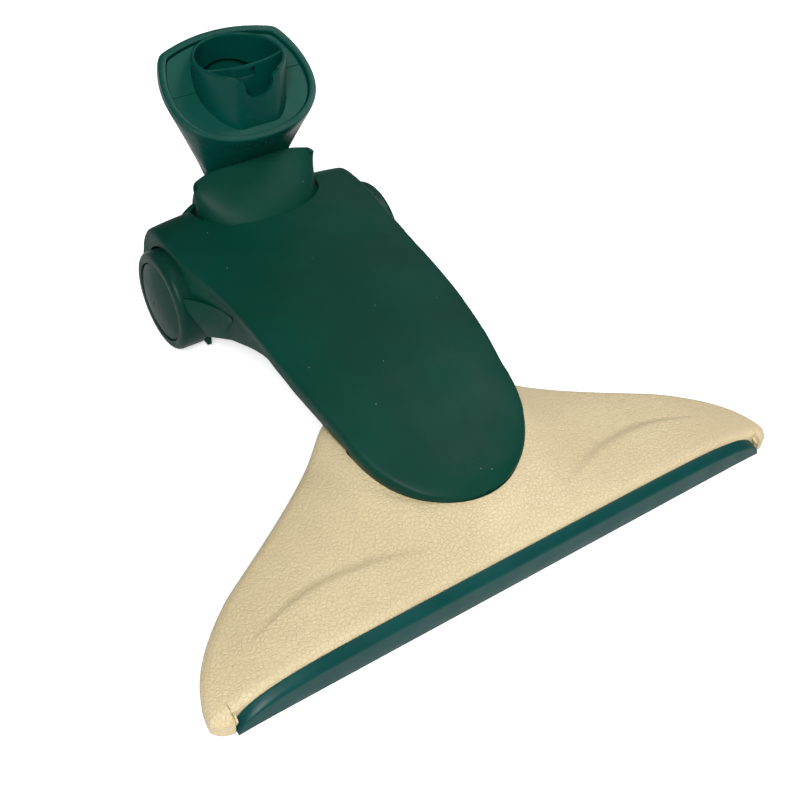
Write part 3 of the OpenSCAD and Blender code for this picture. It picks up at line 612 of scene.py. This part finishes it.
def foot_stations():
    """The x and rear d of each row of the foot, with a pair of rows at the bumper's end."""
    line = foot_rear_line(44)
    first = next(i for i, (x, _) in enumerate(line) if x > BUMPER_END)
    before, after = line[first - 1], line[first]
    share = (BUMPER_END - before[0]) / (after[0] - before[0])
    at_end = before[1] + share * (after[1] - before[1])
    line = (
        [p for p in line if p[0] < BUMPER_END - 0.6]
        + [(BUMPER_END - 0.3, at_end + 0.05), (BUMPER_END + 0.02, at_end)]
        + [p for p in line if p[0] > BUMPER_END + 0.6]
    )
    half = []
    for x, d in line:
        if half and x - half[-1][0] > 2.6:
            gap = x - half[-1][0]
            parts = math.ceil(gap / 2.2)
            start = half[-1]
            half += [(start[0] + gap * k / parts, start[1] + (d - start[1]) * k / parts)
                     for k in range(1, parts)]
        half.append((x, d))
    return [(-x, d) for x, d in reversed(half[1:])] + half


def foot_shell():
    rows = []
    for x, rear_d in foot_stations():
        front_d = foot_front(x)
        rear_d = max(rear_d, front_d + 0.8)
        depth = rear_d - front_d
        shrink = min(1.0, depth / (2.5 * ROLL_OFF))
        cuts = [front_d + s * shrink for s in ROLL_STEPS]
        inner = depth - 2 * ROLL_OFF * shrink
        cuts += [cuts[-1] + inner * k / FOOT_ROWS for k in range(1, FOOT_ROWS)]
        cuts += [rear_d - s * shrink for s in reversed(ROLL_STEPS)]
        off = edge_distances([(x, d) for d in cuts])
        top = [place(x, d, foot_height(x, d, rear_d, e)) for d, e in zip(cuts, off)]
        sides = []
        for d in (front_d, rear_d):
            rise = foot_height(x, d, rear_d) - SOLE_CLEAR
            sides.append([place(x, d, SOLE_CLEAR + rise * k / 3) for k in (0, 1, 2)])
        rows.append(sides[0] + top + sides[1][::-1])
    ends = [[(x, d, SOLE_CLEAR * MM) for x, d, _ in row] for row in (rows[0], rows[-1])]
    shell = grid_surface("foot_shell", [ends[0]] + rows + [ends[1]])
    face_outwards(shell)
    return shell


def nose_cutter(grow, low, high):
    """A prism with the outline of the neck's nose and of the keel behind it."""
    half = NOSE_BASE_HALF_W + grow
    points = [(-half * math.cos(a), NOSE_MID - (NOSE_L + grow) * math.sin(a))
              for a in np.linspace(0, math.pi, 91)]
    points += [(half - 0.6, NOSE_MID + 2), (37, NOSE_MID + 12), (35, ROOT_END + 3),
               (-35, ROOT_END + 3), (-37, NOSE_MID + 12), (0.6 - half, NOSE_MID + 2)]
    rows = [[place(x, d, z) for x, d in points + points[:1]] for z in (low, high)]
    prism = grid_surface("nose_cutter", rows)
    close_holes(prism)
    face_outwards(prism)
    return prism


NOSE_GAP = 0.7
NOSE_CUT = (19.5, 60)

foot = foot_shell()
apply_modifier(foot, "SOLIDIFY", thickness=WALL * MM, offset=-1)
carve(foot, nose_cutter(NOSE_GAP, *NOSE_CUT))
finish_piece(foot, "base", cream, ("foot_cover",))


# Neck cowl

AXLE_H = WHEEL_DIAMETER / 2
TAIL_MID = AXLE_D + 2
TAIL_R = NECK_TOP - AXLE_H
TAIL_L = 31
TAIL_POWER = 3.5
SKIRT_START = 120
FLANGE_TOP = FOOT_RIM_H - WALL - 0.2

neck_width = smooth_curve([
    (NOSE_MID, NOSE_HALF_W), (95, 47.6), (110, 49.8), (131, 51.6), (150, 52.8), (166, 53.8),
    (186, 55.2), (203, 56.6), (214, 57.8), (224, 58.5), (240, 58.7), (300, 58.7),
])
neck_crest_line = smooth_curve([
    (NOSE_D, FOOT_RIM_H + 1.5), (NOSE_D + 3, FOOT_RIM_H + 3.6), (42, 33.4), (50, 36.3), (64, 41),
    (75, 44.6), (90, 49), (105, 52.8), (131, 57.2), (155, 59.6), (185, NECK_TOP - 0.2),
    (TAIL_MID, NECK_TOP), (300, NECK_TOP),
])
neck_lip = smooth_curve([
    (NOSE_D, FLANGE_TOP + 0.2), (50, FLANGE_TOP + 0.4), (60, 25.6), (75, 27.6), (90, 31.5),
    (105, 38), (120, 43.6), (131, 46.3), (150, 48.5), (165, 48.5), (181, 46.6), (200, 41),
    (216, 35), (235, 31), (300, 30),
])
skirt_line = smooth_curve([
    (120, neck_width(120) - 0.5), (135, SKIRT_HALF_W + 0.9), (165, SKIRT_HALF_W + 0.5),
    (180, SKIRT_HALF_W + 0.9), (192, 53.8), (200, 57.6), (206, 61), (214, 62.5), (226, 62),
    (240, 60.5), (300, 59.5),
])


def neck_half(d):
    if d < NOSE_MID:
        return NOSE_HALF_W * math.sqrt(max(0, 1 - ((NOSE_MID - d) / NOSE_L) ** 2))
    return neck_width(d)


def neck_crest(d):
    if d < TAIL_MID:
        return neck_crest_line(d)
    return AXLE_H + TAIL_R * max(0, 1 - ((d - TAIL_MID) / TAIL_L) ** TAIL_POWER) ** (1 / TAIL_POWER)


def neck_section(d):
    """Half a section of the cowl, from its low side edge to the middle of its top."""
    w = neck_half(d)
    taper = [1 - NOSE_BASE_HALF_W / NOSE_HALF_W, 0.01]
    s = w * (1 - float(np.interp(d, [NOSE_MID, SKIRT_START], taper)))
    if d > SKIRT_START:
        s = skirt_line(d)
    top, low = neck_crest(d), neck_lip(d)
    edge = top - min(CROWN, (top - low) * 0.5) * min(1, w / 30)
    low = min(low, edge - 0.3)
    bow = float(np.interp(d, [SKIRT_START, 150], [0.25, -0.12]))
    side = []
    for k in range(9):
        t = k / 8
        x = s + (w - s) * t + bow * abs(w - s) * 4 * t * (1 - t)
        side.append((x, low + (edge - low) * t))
    corner = min(2.6, (edge - low) * 0.3) * min(1, w / 12)
    side = [p for p in side if p[1] < edge - corner * 1.05]
    crown = []
    for a in np.linspace(math.pi / 2, 0, 45):
        x = w * math.sin(a)
        crown.append((x, edge + (top - edge) * (1 - math.sin(a) ** 3)))
    crown = [p for p in crown if p[0] < w - corner * 0.9]
    start, turn, end = side[-1], (w, edge), crown[0]
    rounding = [
        tuple((1 - t) ** 2 * start[k] + 2 * t * (1 - t) * turn[k] + t * t * end[k] for k in (0, 1))
        for t in np.linspace(0, 1, 7)[1:-1]
    ]
    return even_path(side + rounding + crown, 60)


def even_path(points, count):
    """The same path with its points spread evenly along it."""
    p = np.array(points, float)
    run = np.concatenate([[0], np.cumsum(np.linalg.norm(np.diff(p, axis=0), axis=1))])
    at = np.linspace(0, run[-1], count)
    return list(zip(np.interp(at, run, p[:, 0]), np.interp(at, run, p[:, 1])))


def cowl_shell():
    nose = [NOSE_MID - NOSE_L * math.cos(a) for a in np.linspace(0.02, math.pi / 2, 34)[:-1]]
    middle = list(np.arange(NOSE_MID, TAIL_MID, 2.0))
    tail = [TAIL_MID + TAIL_L * math.sin(a) ** 0.6 for a in np.linspace(0, math.radians(88), 34)]
    rows = []
    for d in nose + middle + tail:
        half = neck_section(d)
        row = [place(x, d, z) for x, z in half] + [place(-x, d, z) for x, z in reversed(half[:-1])]
        rows.append(row)
    shell = grid_surface("neck_hood", rows)
    face_outwards(shell)
    return shell


def drum_radius(x):
    return DRUM_R - (DRUM_R - DRUM_SIDE_R) * min(1, (abs(x) / DRUM_HALF_W) ** 2.8)


def barrel(name, grow, segments=160):
    """The elbow's drum about the tilt axis, grown or shrunk all round."""
    half = DRUM_HALF_W + grow
    rows = []
    for k in np.linspace(-1, 1, 61):
        r = drum_radius(k * DRUM_HALF_W) + grow
        rows.append([
            place(k * half, PIVOT_D + r * math.cos(t), PIVOT_H + r * math.sin(t))
            for t in np.linspace(0, 2 * math.pi, segments + 1)
        ])
    drum = grid_surface(name, rows)
    close_holes(drum)
    face_outwards(drum)
    return drum


def channel_cutter():
    """The U-shaped opening above the drum, straight on at the rear."""
    half, reach = LIP_HALF_W + 0.2, 23.5
    points = [(half * math.copysign(abs(math.sin(t)) ** 0.9, t),
               LIP_END_D - reach * max(0.0, math.cos(t)) ** 0.9)
              for t in np.linspace(-math.pi / 2, math.pi / 2, 81)]
    points += [(half, PIVOT_D + 60), (-half, PIVOT_D + 60)]
    return tube_of_rings("channel", [[place(x, d, z) for x, d in points + points[:1]]
                                     for z in (PIVOT_H - 20, PIVOT_H + 60)])


ARCH_R = WHEEL_DIAMETER / 2 + ARCH_GAP

hood = cowl_shell()
apply_modifier(hood, "SOLIDIFY", thickness=WALL * MM, offset=-1, use_even_offset=True)
carve(hood, channel_cutter())
for side in (-1, 1):
    middle = place(side * (SKIRT_HALF_W + 14), AXLE_D, AXLE_H)
    carve(hood, rod("arch_cutter", middle, ARCH_R * MM, 30 * MM, 192))
finish_piece(hood, "base", cowl_green, ("neck_cowl",))


# The lower shell's flares in front of the wheels

FLARE_START = 177
FLARE_T = 1.8
flare_edge = smooth_curve([
    (18, 52.5), (25, 55.5), (30, 58), (35, 60.5), (39, 62), (43, 62.5), (48, 62), (56, 59),
])


def flare_panel(side):
    """A panel that leads the neck's side out to the rim of the wheel arch."""
    rows = []
    for u in np.linspace(0, 1, 25):
        row = []
        top = float(np.interp(u, [0, 0.5, 1], [46.6, 44.8, 43.4]))
        low = float(np.interp(u, [0, 0.45, 0.8, 1], [29.5, 24.6, 21.2, 19.5]))
        for z in np.linspace(top, low, 21):
            arch_d = AXLE_D - math.sqrt(ARCH_R**2 - (z - AXLE_H) ** 2)
            d = FLARE_START + (arch_d - FLARE_START) * u
            root = SKIRT_HALF_W - 1 - 0.2 * (46 - z)
            x = root + (flare_edge(z) - root) * u**1.8
            row.append(place(side * x, d, z))
        rows.append(row)
    panel = grid_surface("arch_flare_right" if side > 0 else "arch_flare_left", rows)
    face_outwards(panel)
    apply_modifier(panel, "SOLIDIFY", thickness=FLARE_T * MM, offset=-1, use_even_offset=True)
    return panel


for side in (-1, 1):
    finish_piece(flare_panel(side), "base", shell_green)


# Bumper

BUMPER_LOW = SOLE_CLEAR - 1


def bumper_top(x):
    k = abs(x) / (BUMPER_W / 2)
    rise = FOOT_FRONT_H - 0.3 - BUMPER_LOW
    return BUMPER_LOW + rise * max(0, 1 - k**9) ** 0.45 * (1 - 0.1 * k**4)


def bumper_strip():
    low = BUMPER_LOW
    stations = 0.999 * np.sin(np.linspace(-math.pi / 2, math.pi / 2, 141))
    rows = []
    for k in stations:
        x = k * BUMPER_W / 2
        top = max(bumper_top(x), low + 0.6)
        h = top - low
        profile = [
            (FRONT_LINE, low), (1.2, low), (0.35, low + 0.02 * h), (0.0, low + 0.07 * h),
            (0.0, low + 0.4 * h), (0.0, low + 0.74 * h), (0.05, low + 0.78 * h),
            (0.25, low + 0.815 * h), (0.6, low + 0.845 * h), (1.6, low + 0.9 * h),
            (2.8, low + 0.945 * h), (FRONT_LINE - 0.7, low + 0.985 * h),
            (FRONT_LINE - 0.2, top), (FRONT_LINE, top), (FRONT_LINE, low),
        ]
        rows.append([place(x, d, z) for d, z in profile])
    strip = grid_surface("bumper_strip", rows)
    close_holes(strip)
    face_outwards(strip)
    return strip


finish_piece(bumper_strip(), "base", bumper_teal, ("front_bumper",), 30)


# Elbow

STEM_TOP = 78
STEM_HALF_W = 24.4
STEM_FRONT = 249
STEM_MID = 256
STEM_REAR = 274.4
STEM_CORNER = 2
LIP_TOP_D = 247.1
LIP_T = 2.2


def on_drum(radius, angle):
    return (PIVOT_D + radius * math.cos(angle), PIVOT_H + radius * math.sin(angle))


def lip_face(z):
    """The lip's front in the middle: the drum's curve, then straight up to the top edge."""
    leave = math.atan2(LIP_TOP - PIVOT_H, LIP_TOP_D - PIVOT_D)
    leave += math.acos(DRUM_R / math.hypot(LIP_TOP_D - PIVOT_D, LIP_TOP - PIVOT_H))
    start = on_drum(DRUM_R, leave)
    if z < start[1]:
        return PIVOT_D - math.sqrt(DRUM_R**2 - (z - PIVOT_H) ** 2)
    return start[0] + (LIP_TOP_D - start[0]) * (z - start[1]) / (LIP_TOP - start[1])


def lip_point(s, c, z, inset):
    """A point of the lip at a share s of its half width; c is how far it is bowed there."""
    half = float(np.interp(z, [50, 60, LIP_TOP], [33.2, 34, LIP_HALF_W])) - inset
    bow = LIP_END_D - lip_face(z) - inset
    share = max(0, (z - 62) / (LIP_TOP - 62))
    lift = share * (2.2 * (1 - s * s) - 1.1 * max(0, (abs(s) - 0.93) / 0.07) ** 2)
    return place(half * s, LIP_END_D - bow * c + 0.9 * lift, z + lift)


def front_lip():
    """A thin wall that bows forwards and has upright sides."""
    rows = []
    for t in np.linspace(-math.pi / 2, math.pi / 2, 81):
        s = math.copysign(abs(math.sin(t)) ** 0.9, t)
        c = max(0.0, math.cos(t)) ** 0.9
        levels = list(np.linspace(50, LIP_TOP - 0.5, 24))
        row = [lip_point(s, c, z, 0) for z in levels]
        row += [lip_point(s, c, LIP_TOP - drop, inset) for drop, inset in (
            (0.15, 0.12), (0, 0.45), (0, LIP_T - 0.45), (0.15, LIP_T - 0.12))]
        row += [lip_point(s, c, z, LIP_T) for z in reversed(levels)]
        rows.append(row + row[:1])
    return tube_of_rings("front_lip", rows)


def stem_outline(inset, half_w=STEM_HALF_W, front=STEM_FRONT, rear=STEM_REAR):
    """A section of the stem, round the whole ring, with a flat front and a round rear."""
    w, r = half_w - inset, STEM_CORNER
    low, high = front + inset, rear - inset
    mid = low + (STEM_MID - STEM_FRONT)
    flat = [(x, low) for x in np.linspace(0, w - r, 18)]
    turn = [(w - r + r * math.sin(a), low + r - r * math.cos(a))
            for a in np.linspace(0.1, math.pi / 2, 12)]
    sides = [(w, d) for d in np.linspace(low + r, mid, 8)[1:]]
    round_end = [(w * math.cos(a), mid + (high - mid) * math.sin(a))
                 for a in np.linspace(0, math.pi / 2, 37)[1:]]
    half = flat + turn + sides + round_end
    return half + [(-x, d) for x, d in reversed(half[:-1])]


def stem_ring(z, inset, half_w=STEM_HALF_W, front=STEM_FRONT, rear=STEM_REAR):
    return [place(x, d, z) for x, d in stem_outline(inset, half_w, front, rear)]


def part_way(start, end, k, steps):
    """The ring that lies k of so many steps from one ring to another."""
    return [tuple(p + (q - p) * k / steps for p, q in zip(u, v)) for u, v in zip(start, end)]


def between(rings, steps):
    """Rings filled in between by straight steps."""
    out = [rings[0]]
    for a, b in zip(rings, rings[1:]):
        out += [part_way(a, b, k, steps) for k in range(1, steps + 1)]
    return out


def elbow_stem(inset, low, high):
    return between([
        stem_ring(low, inset, 18, 231, 254),
        stem_ring(60, inset, 20.5, 236, 260),
        stem_ring(70, inset, 23, 243, 267),
        stem_ring(high, inset),
    ], 4)


def closed_ring_shell(name, rings):
    """A ring-shaped wall: the last ring joins the first."""
    shell = grid_surface(name, rings + rings[:1])
    only(shell)
    bpy.ops.object.mode_set(mode="EDIT")
    bpy.ops.mesh.select_all(action="SELECT")
    bpy.ops.mesh.normals_make_consistent(inside=False)
    bpy.ops.object.mode_set(mode="OBJECT")
    return shell


DRUM_SHRINK = 0.3
PIN_HOLE_R = 5.1
STEM_FOOT = PIVOT_H + 9

drum = barrel("elbow_drum", -DRUM_SHRINK)
carve(drum, barrel("drum_bore", -DRUM_SHRINK - WALL))
carve(drum, tube_of_rings("stem_bore", elbow_stem(WALL + 2, PIVOT_H + 2, STEM_TOP)))
carve(drum, block("inlet", place(-22, PIVOT_D - DRUM_R - 2, PIVOT_H - 25),
                  place(22, PIVOT_D - DRUM_R + 18, PIVOT_H - 5)))
for side in (-1, 1):
    carve(drum, rod("pin_hole", place(side * 35, PIVOT_D, PIVOT_H), PIN_HOLE_R * MM, 30 * MM))
    inner, outer = sorted((side * (STEM_HALF_W - 1), side * 40))
    carve(drum, block("shoulder", place(inner, 238, 45), place(outer, 290, 76)))
finish_piece(drum, "connector", cowl_green, ("tilt_elbow",))

finish_piece(front_lip(), "connector", cowl_green, ("tilt_elbow",), 18)

stem = closed_ring_shell("elbow_stem", elbow_stem(0, STEM_FOOT, STEM_TOP)
                         + elbow_stem(WALL, STEM_FOOT, STEM_TOP)[::-1])
finish_piece(stem, "connector", cowl_green, ("tilt_elbow",))

spigot = closed_ring_shell("elbow_spigot", [stem_ring(STEM_TOP + z, WALL * k + 0.1)
                                            for z, k in ((-6, 1), (8, 1), (8, 2), (-6, 2))])
finish_piece(spigot, "connector", cowl_green, ("tilt_elbow",))


# Connector: the flared shell, its slanted plate and the tube

PLATE_DROP = 1.8
PLATE_T = 2
PLATE_GAP = 0.35
PLATE_SEAM = 1.4
SEAM_W = 0.3
TUBE_R = TUBE_DIAMETER / 2
TUBE_WALL = 2
TUBE_FLAT = 20.7
TUBE_RIM = 0.7


def shield(inset):
    """The rim's outline, round the whole ring, as (x, reach behind the middle)."""
    w, f, c = RIM_HALF_W - inset, RIM_FRONT - inset, RIM_CORNER - inset * 0.8
    cw, r = RIM_CORNER_HALF_W - inset * 0.9, RIM_REAR - inset
    half = [(w * math.sin(a) ** 0.87, -f * abs(math.cos(a)) ** 0.87)
            for a in np.linspace(0, math.pi / 2, 37)]
    half += [(w - (w - cw) * (k / 16) ** 2, c * k / 16) for k in range(1, 17)]
    half += [(cw * (1 - k / 20), c + (r - c) * (1 - (1 - k / 20) ** 2)) for k in range(1, 21)]
    for _ in range(2):
        eased = [((a[0] + 2 * b[0] + e[0]) / 4, (a[1] + 2 * b[1] + e[1]) / 4)
                 for a, b, e in zip(half, half[1:], half[2:])]
        half = [half[0]] + eased + [half[-1]]
    return half + [(-x, q) for x, q in reversed(half[:-1])]


def on_rim(q, rise):
    return place(q[0], RIM_D + q[1] * math.cos(RIM_TILT) - rise * math.sin(RIM_TILT),
                 RIM_H + q[1] * math.sin(RIM_TILT) + rise * math.cos(RIM_TILT))


def shell_ring(t, inset, rise):
    base = stem_ring(STEM_TOP, inset)
    rim = [on_rim(q, rise) for q in shield(inset)]
    return [tuple(a + (b - a) * t for a, b in zip(u, v)) for u, v in zip(base, rim)]


def flared_shell():
    ledge = PLATE_DROP + PLATE_T
    outer = [shell_ring(t, 0, -RIM_BAND) for t in np.linspace(0, 0.97, 18)]
    band = [shell_ring(1, inset, rise) for inset, rise in (
        (0.02, -RIM_BAND), (0, -RIM_BAND + 0.4), (0, -1), (0.05, -0.35), (0.35, -0.05), (0.8, 0))]
    lip = [shell_ring(1, WALL + inset, rise) for inset, rise in (
        (0.3, 0), (0.85, -0.1), (1, -0.4), (1, -ledge), (2.4, -ledge), (2.4, -ledge - 0.6))]
    inner = [shell_ring(t, WALL + 1.6 * t, -RIM_BAND - 0.4) for t in np.linspace(0.94, 0, 12)]
    return closed_ring_shell("flared_shell", outer + band + lip + inner)


def tube_outline(inset):
    """A circle with a flat front whose corners are slightly rounded."""
    r, flat = TUBE_R - inset, TUBE_FLAT - inset
    out = []
    for i in range(181):
        a = 2 * math.pi * i / 180
        x, y = r * math.sin(a), -r * math.cos(a)
        soft = 1.2
        over = -flat - y
        if over > -soft:
            y = -flat + (0 if over > soft else (soft - over) ** 2 / (4 * soft))
        out.append((x, y))
    return out


def tube_bottom(y):
    return RIM_H + (TUBE_D + y - RIM_D) * math.tan(RIM_TILT) - (PLATE_DROP + 8) / math.cos(RIM_TILT)


def tube_ring(inset, t):
    """A ring of the tube's wall, at a share t of the way up to its rim."""
    ring = []
    for x, y in tube_outline(inset):
        low = tube_bottom(y)
        ring.append(place(x, TUBE_D + y, low + (TUBE_TOP - TUBE_RIM - low) * t))
    return ring


def spigot_tube():
    rings = [tube_ring(0, t) for t in np.linspace(0, 1, 14)]
    for inset, drop in ((0.06, 0.35), (0.25, 0.1), (0.6, 0), (TUBE_WALL - 0.6, 0),
                        (TUBE_WALL - 0.25, 0.1), (TUBE_WALL - 0.06, 0.35), (TUBE_WALL, TUBE_RIM)):
        rings.append([place(x, TUBE_D + y, TUBE_TOP - drop) for x, y in tube_outline(inset)])
    rings += [tube_ring(TUBE_WALL, t) for t in np.linspace(1, 0, 10)[1:]]
    tube = closed_ring_shell("spigot_tube", rings)
    carve(tube, notch_cutter())
    return tube


def notch_cutter():
    """The latch notch: a round bottom, a soft left shoulder and a small tooth on the right."""
    top = TUBE_TOP
    points = [(-14.5, top + 2), (-13.2, top - 0.3), (-11.2, top - 0.9), (-9.4, top - 2.1),
              (-8.2, top - 3.9), (-7.75, top - 5.5)]
    points += [(-7.75 * math.cos(a), top - 5.5 - 7.5 * math.sin(a))
               for a in np.linspace(0, math.pi, 33)[1:-1]]
    points += [(7.75, top - 5.5), (7.5, top - 4.6), (7.7, top - 3.4), (8.5, top - 2.6),
               (9.6, top - 2.2), (10.6, top - 1.2), (11.4, top + 2)]
    rings = [[place(x, TUBE_D - TUBE_FLAT + d, z) for x, z in points + points[:1]]
             for d in (-4, 4.5)]
    return tube_of_rings("notch", rings)


def slanted_plate():
    outer = shield(WALL + 1 + PLATE_GAP)
    inner = []
    for x, q in outer:
        a = math.atan2(x, -q * math.cos(RIM_TILT))
        r = TUBE_R - 0.6
        y = -r * math.cos(a)
        y = max(y, -TUBE_FLAT + 0.6)
        inner.append((r * math.sin(a), (TUBE_D + y - RIM_D + PLATE_DROP * math.sin(RIM_TILT))
                      / math.cos(RIM_TILT)))
    rings = []
    for t, drop in ((0, PLATE_T), (0, 0.3), (0.02, 0), (0.3, 0), (0.6, 0), (1, 0), (1, PLATE_T)):
        ring = [(p[0] + (q[0] - p[0]) * t, p[1] + (q[1] - p[1]) * t) for p, q in zip(outer, inner)]
        rings.append([on_rim(point, -PLATE_DROP - drop) for point in ring])
    plate = closed_ring_shell("slanted_plate", rings)
    for side in (-1, 1):
        left, right = sorted((side * 21, side * 40))
        cut = block("seam", (left * MM, -SEAM_W / 2 * MM, -MM), (right * MM, SEAM_W / 2 * MM, MM))
        cut.data.transform(
            Matrix.Translation(on_rim((0, PLATE_SEAM), -PLATE_DROP + 0.65))
            @ Matrix.Rotation(RIM_TILT, 4, "X")
        )
        carve(plate, cut)
    return plate


DIVIDER_BOW = 4
DIVIDER_AT = -10.5
DIVIDER_T = 1.6


def bowed_divider():
    chord = TUBE_R - TUBE_WALL - 1.5
    r = (chord**2 + DIVIDER_BOW**2) / (2 * DIVIDER_BOW)
    rows = []
    for x in np.linspace(-20.6, 20.6, 49):
        y = DIVIDER_AT + r - math.sqrt(r * r - x * x)
        t, top = DIVIDER_T, TUBE_TOP - 0.5
        low = tube_bottom(y)
        section = [(y, low), (y, top - 1.2), (y + 0.05, top - 0.3), (y + 0.35, top),
                   (y + t - 0.35, top), (y + t - 0.05, top - 0.3), (y + t, top - 1.2), (y + t, low)]
        rows.append([place(x, TUBE_D + q, z) for q, z in section + section[:1]])
    wall = tube_of_rings("divider", rows)
    slot_low, slot_high = place(-7, TUBE_D - 20, TUBE_TOP - 7), place(3.5, TUBE_D, TUBE_TOP - 2.2)
    carve(wall, block("slot", slot_low, slot_high))
    return wall


for piece, material, node in (
    (flared_shell(), connector_green, "connector_shell"),
    (spigot_tube(), connector_green, "inner_tube"),
    (slanted_plate(), plate_green_painted_sheen, "inner_tube"),
    (bowed_divider(), connector_green, "inner_tube"),
):
    finish_piece(piece, "connector", material, (node,), 30)


# Camera, light and floor

CAMERA_AZIMUTH = math.radians(-37.63)
CAMERA_ELEVATION = math.radians(44.31)
CAMERA_ROLL = math.radians(4.81)
CAMERA_FOCUS_PIXELS = 1199
CAMERA_PLACE = (-252.0, -222.4, 428.9)


def photo_camera():
    data = bpy.data.cameras.new("photo_camera")
    data.sensor_width = 36
    data.lens = CAMERA_FOCUS_PIXELS / PHOTO_PIXELS * data.sensor_width
    data.clip_start = 0.01
    camera = bpy.data.objects.new("photo_camera", data)
    bpy.context.scene.collection.objects.link(camera)
    a, e = CAMERA_AZIMUTH, CAMERA_ELEVATION
    back = Vector((math.sin(a) * math.cos(e), -math.cos(a) * math.cos(e), math.sin(e)))
    level = Vector((math.cos(a), math.sin(a), 0))
    rise = back.cross(level)
    right = level * math.cos(CAMERA_ROLL) + rise * math.sin(CAMERA_ROLL)
    up = rise * math.cos(CAMERA_ROLL) - level * math.sin(CAMERA_ROLL)
    camera.matrix_world = Matrix.Translation(place(*CAMERA_PLACE)) @ Matrix(
        (right, up, back)
    ).transposed().to_4x4()
    bpy.context.scene.camera = camera


LAMPS_AIM = (0, 0, 0.03)


def area_lamp(name, at, size, watts):
    data = bpy.data.lights.new(name, "AREA")
    data.shape = "DISK"
    data.size = size
    data.energy = watts
    lamp = bpy.data.objects.new(name, data)
    bpy.context.scene.collection.objects.link(lamp)
    lamp.location = at
    lamp.rotation_euler = (Vector(LAMPS_AIM) - Vector(at)).to_track_quat("-Z", "Y").to_euler()


def studio_world(overhead, horizon):
    """A plain pale room, brightest along its horizon, that the camera sees as white."""
    world = bpy.data.worlds.new("pale_room")
    world.use_nodes = True
    tree = world.node_tree
    light = tree.nodes["Background"]
    light.inputs["Color"].default_value = (1, 1, 1, 1)
    towards = tree.nodes.new("ShaderNodeTexCoord")
    split = tree.nodes.new("ShaderNodeSeparateXYZ")
    climb = tree.nodes.new("ShaderNodeMapRange")
    climb.inputs["From Min"].default_value = 0.05
    climb.inputs["From Max"].default_value = 0.6
    climb.inputs["To Min"].default_value = horizon
    climb.inputs["To Max"].default_value = overhead
    seen = tree.nodes.new("ShaderNodeBackground")
    seen.inputs["Strength"].default_value = 1.0
    path = tree.nodes.new("ShaderNodeLightPath")
    choose = tree.nodes.new("ShaderNodeMixShader")
    tree.links.new(towards.outputs["Generated"], split.inputs[0])
    tree.links.new(split.outputs["Z"], climb.inputs["Value"])
    tree.links.new(climb.outputs["Result"], light.inputs["Strength"])
    tree.links.new(path.outputs["Is Camera Ray"], choose.inputs[0])
    tree.links.new(light.outputs[0], choose.inputs[1])
    tree.links.new(seen.outputs[0], choose.inputs[2])
    tree.links.new(choose.outputs[0], tree.nodes["World Output"].inputs["Surface"])
    bpy.context.scene.world = world


def pale_floor():
    deselect_all()
    bpy.ops.mesh.primitive_plane_add(size=6, location=(0, 0, -0.0002))
    floor = bpy.context.object
    floor.name = "floor"
    material = bpy.data.materials.new("floor_white")
    material.use_nodes = True
    tree = material.node_tree
    surface = tree.nodes["Principled BSDF"]
    surface.inputs["Base Color"].default_value = (0.9, 0.9, 0.9, 1)
    surface.inputs["Roughness"].default_value = 0.9
    surface.inputs["Emission Strength"].default_value = 1.0
    path = tree.nodes.new("ShaderNodeLightPath")
    seen = tree.nodes.new("ShaderNodeMix")
    seen.data_type = "RGBA"
    seen.inputs[6].default_value = (0, 0, 0, 1)
    seen.inputs[7].default_value = (0.6, 0.6, 0.6, 1)
    tree.links.new(path.outputs["Is Camera Ray"], seen.inputs["Factor"])
    tree.links.new(seen.outputs[2], surface.inputs["Emission Color"])
    floor.data.materials.append(material)


photo_camera()
studio_world(0.08, 0.08)
pale_floor()
area_lamp("key", (-1.7, -2.4, 3.2), 1.8, 172)
area_lamp("fill", (2.2, -0.1, 3.2), 1.6, 40)
area_lamp("sheen", (2.0, 1.8, 1.9), 1.6, 7)

bpy.context.scene.view_settings.view_transform = "Standard"
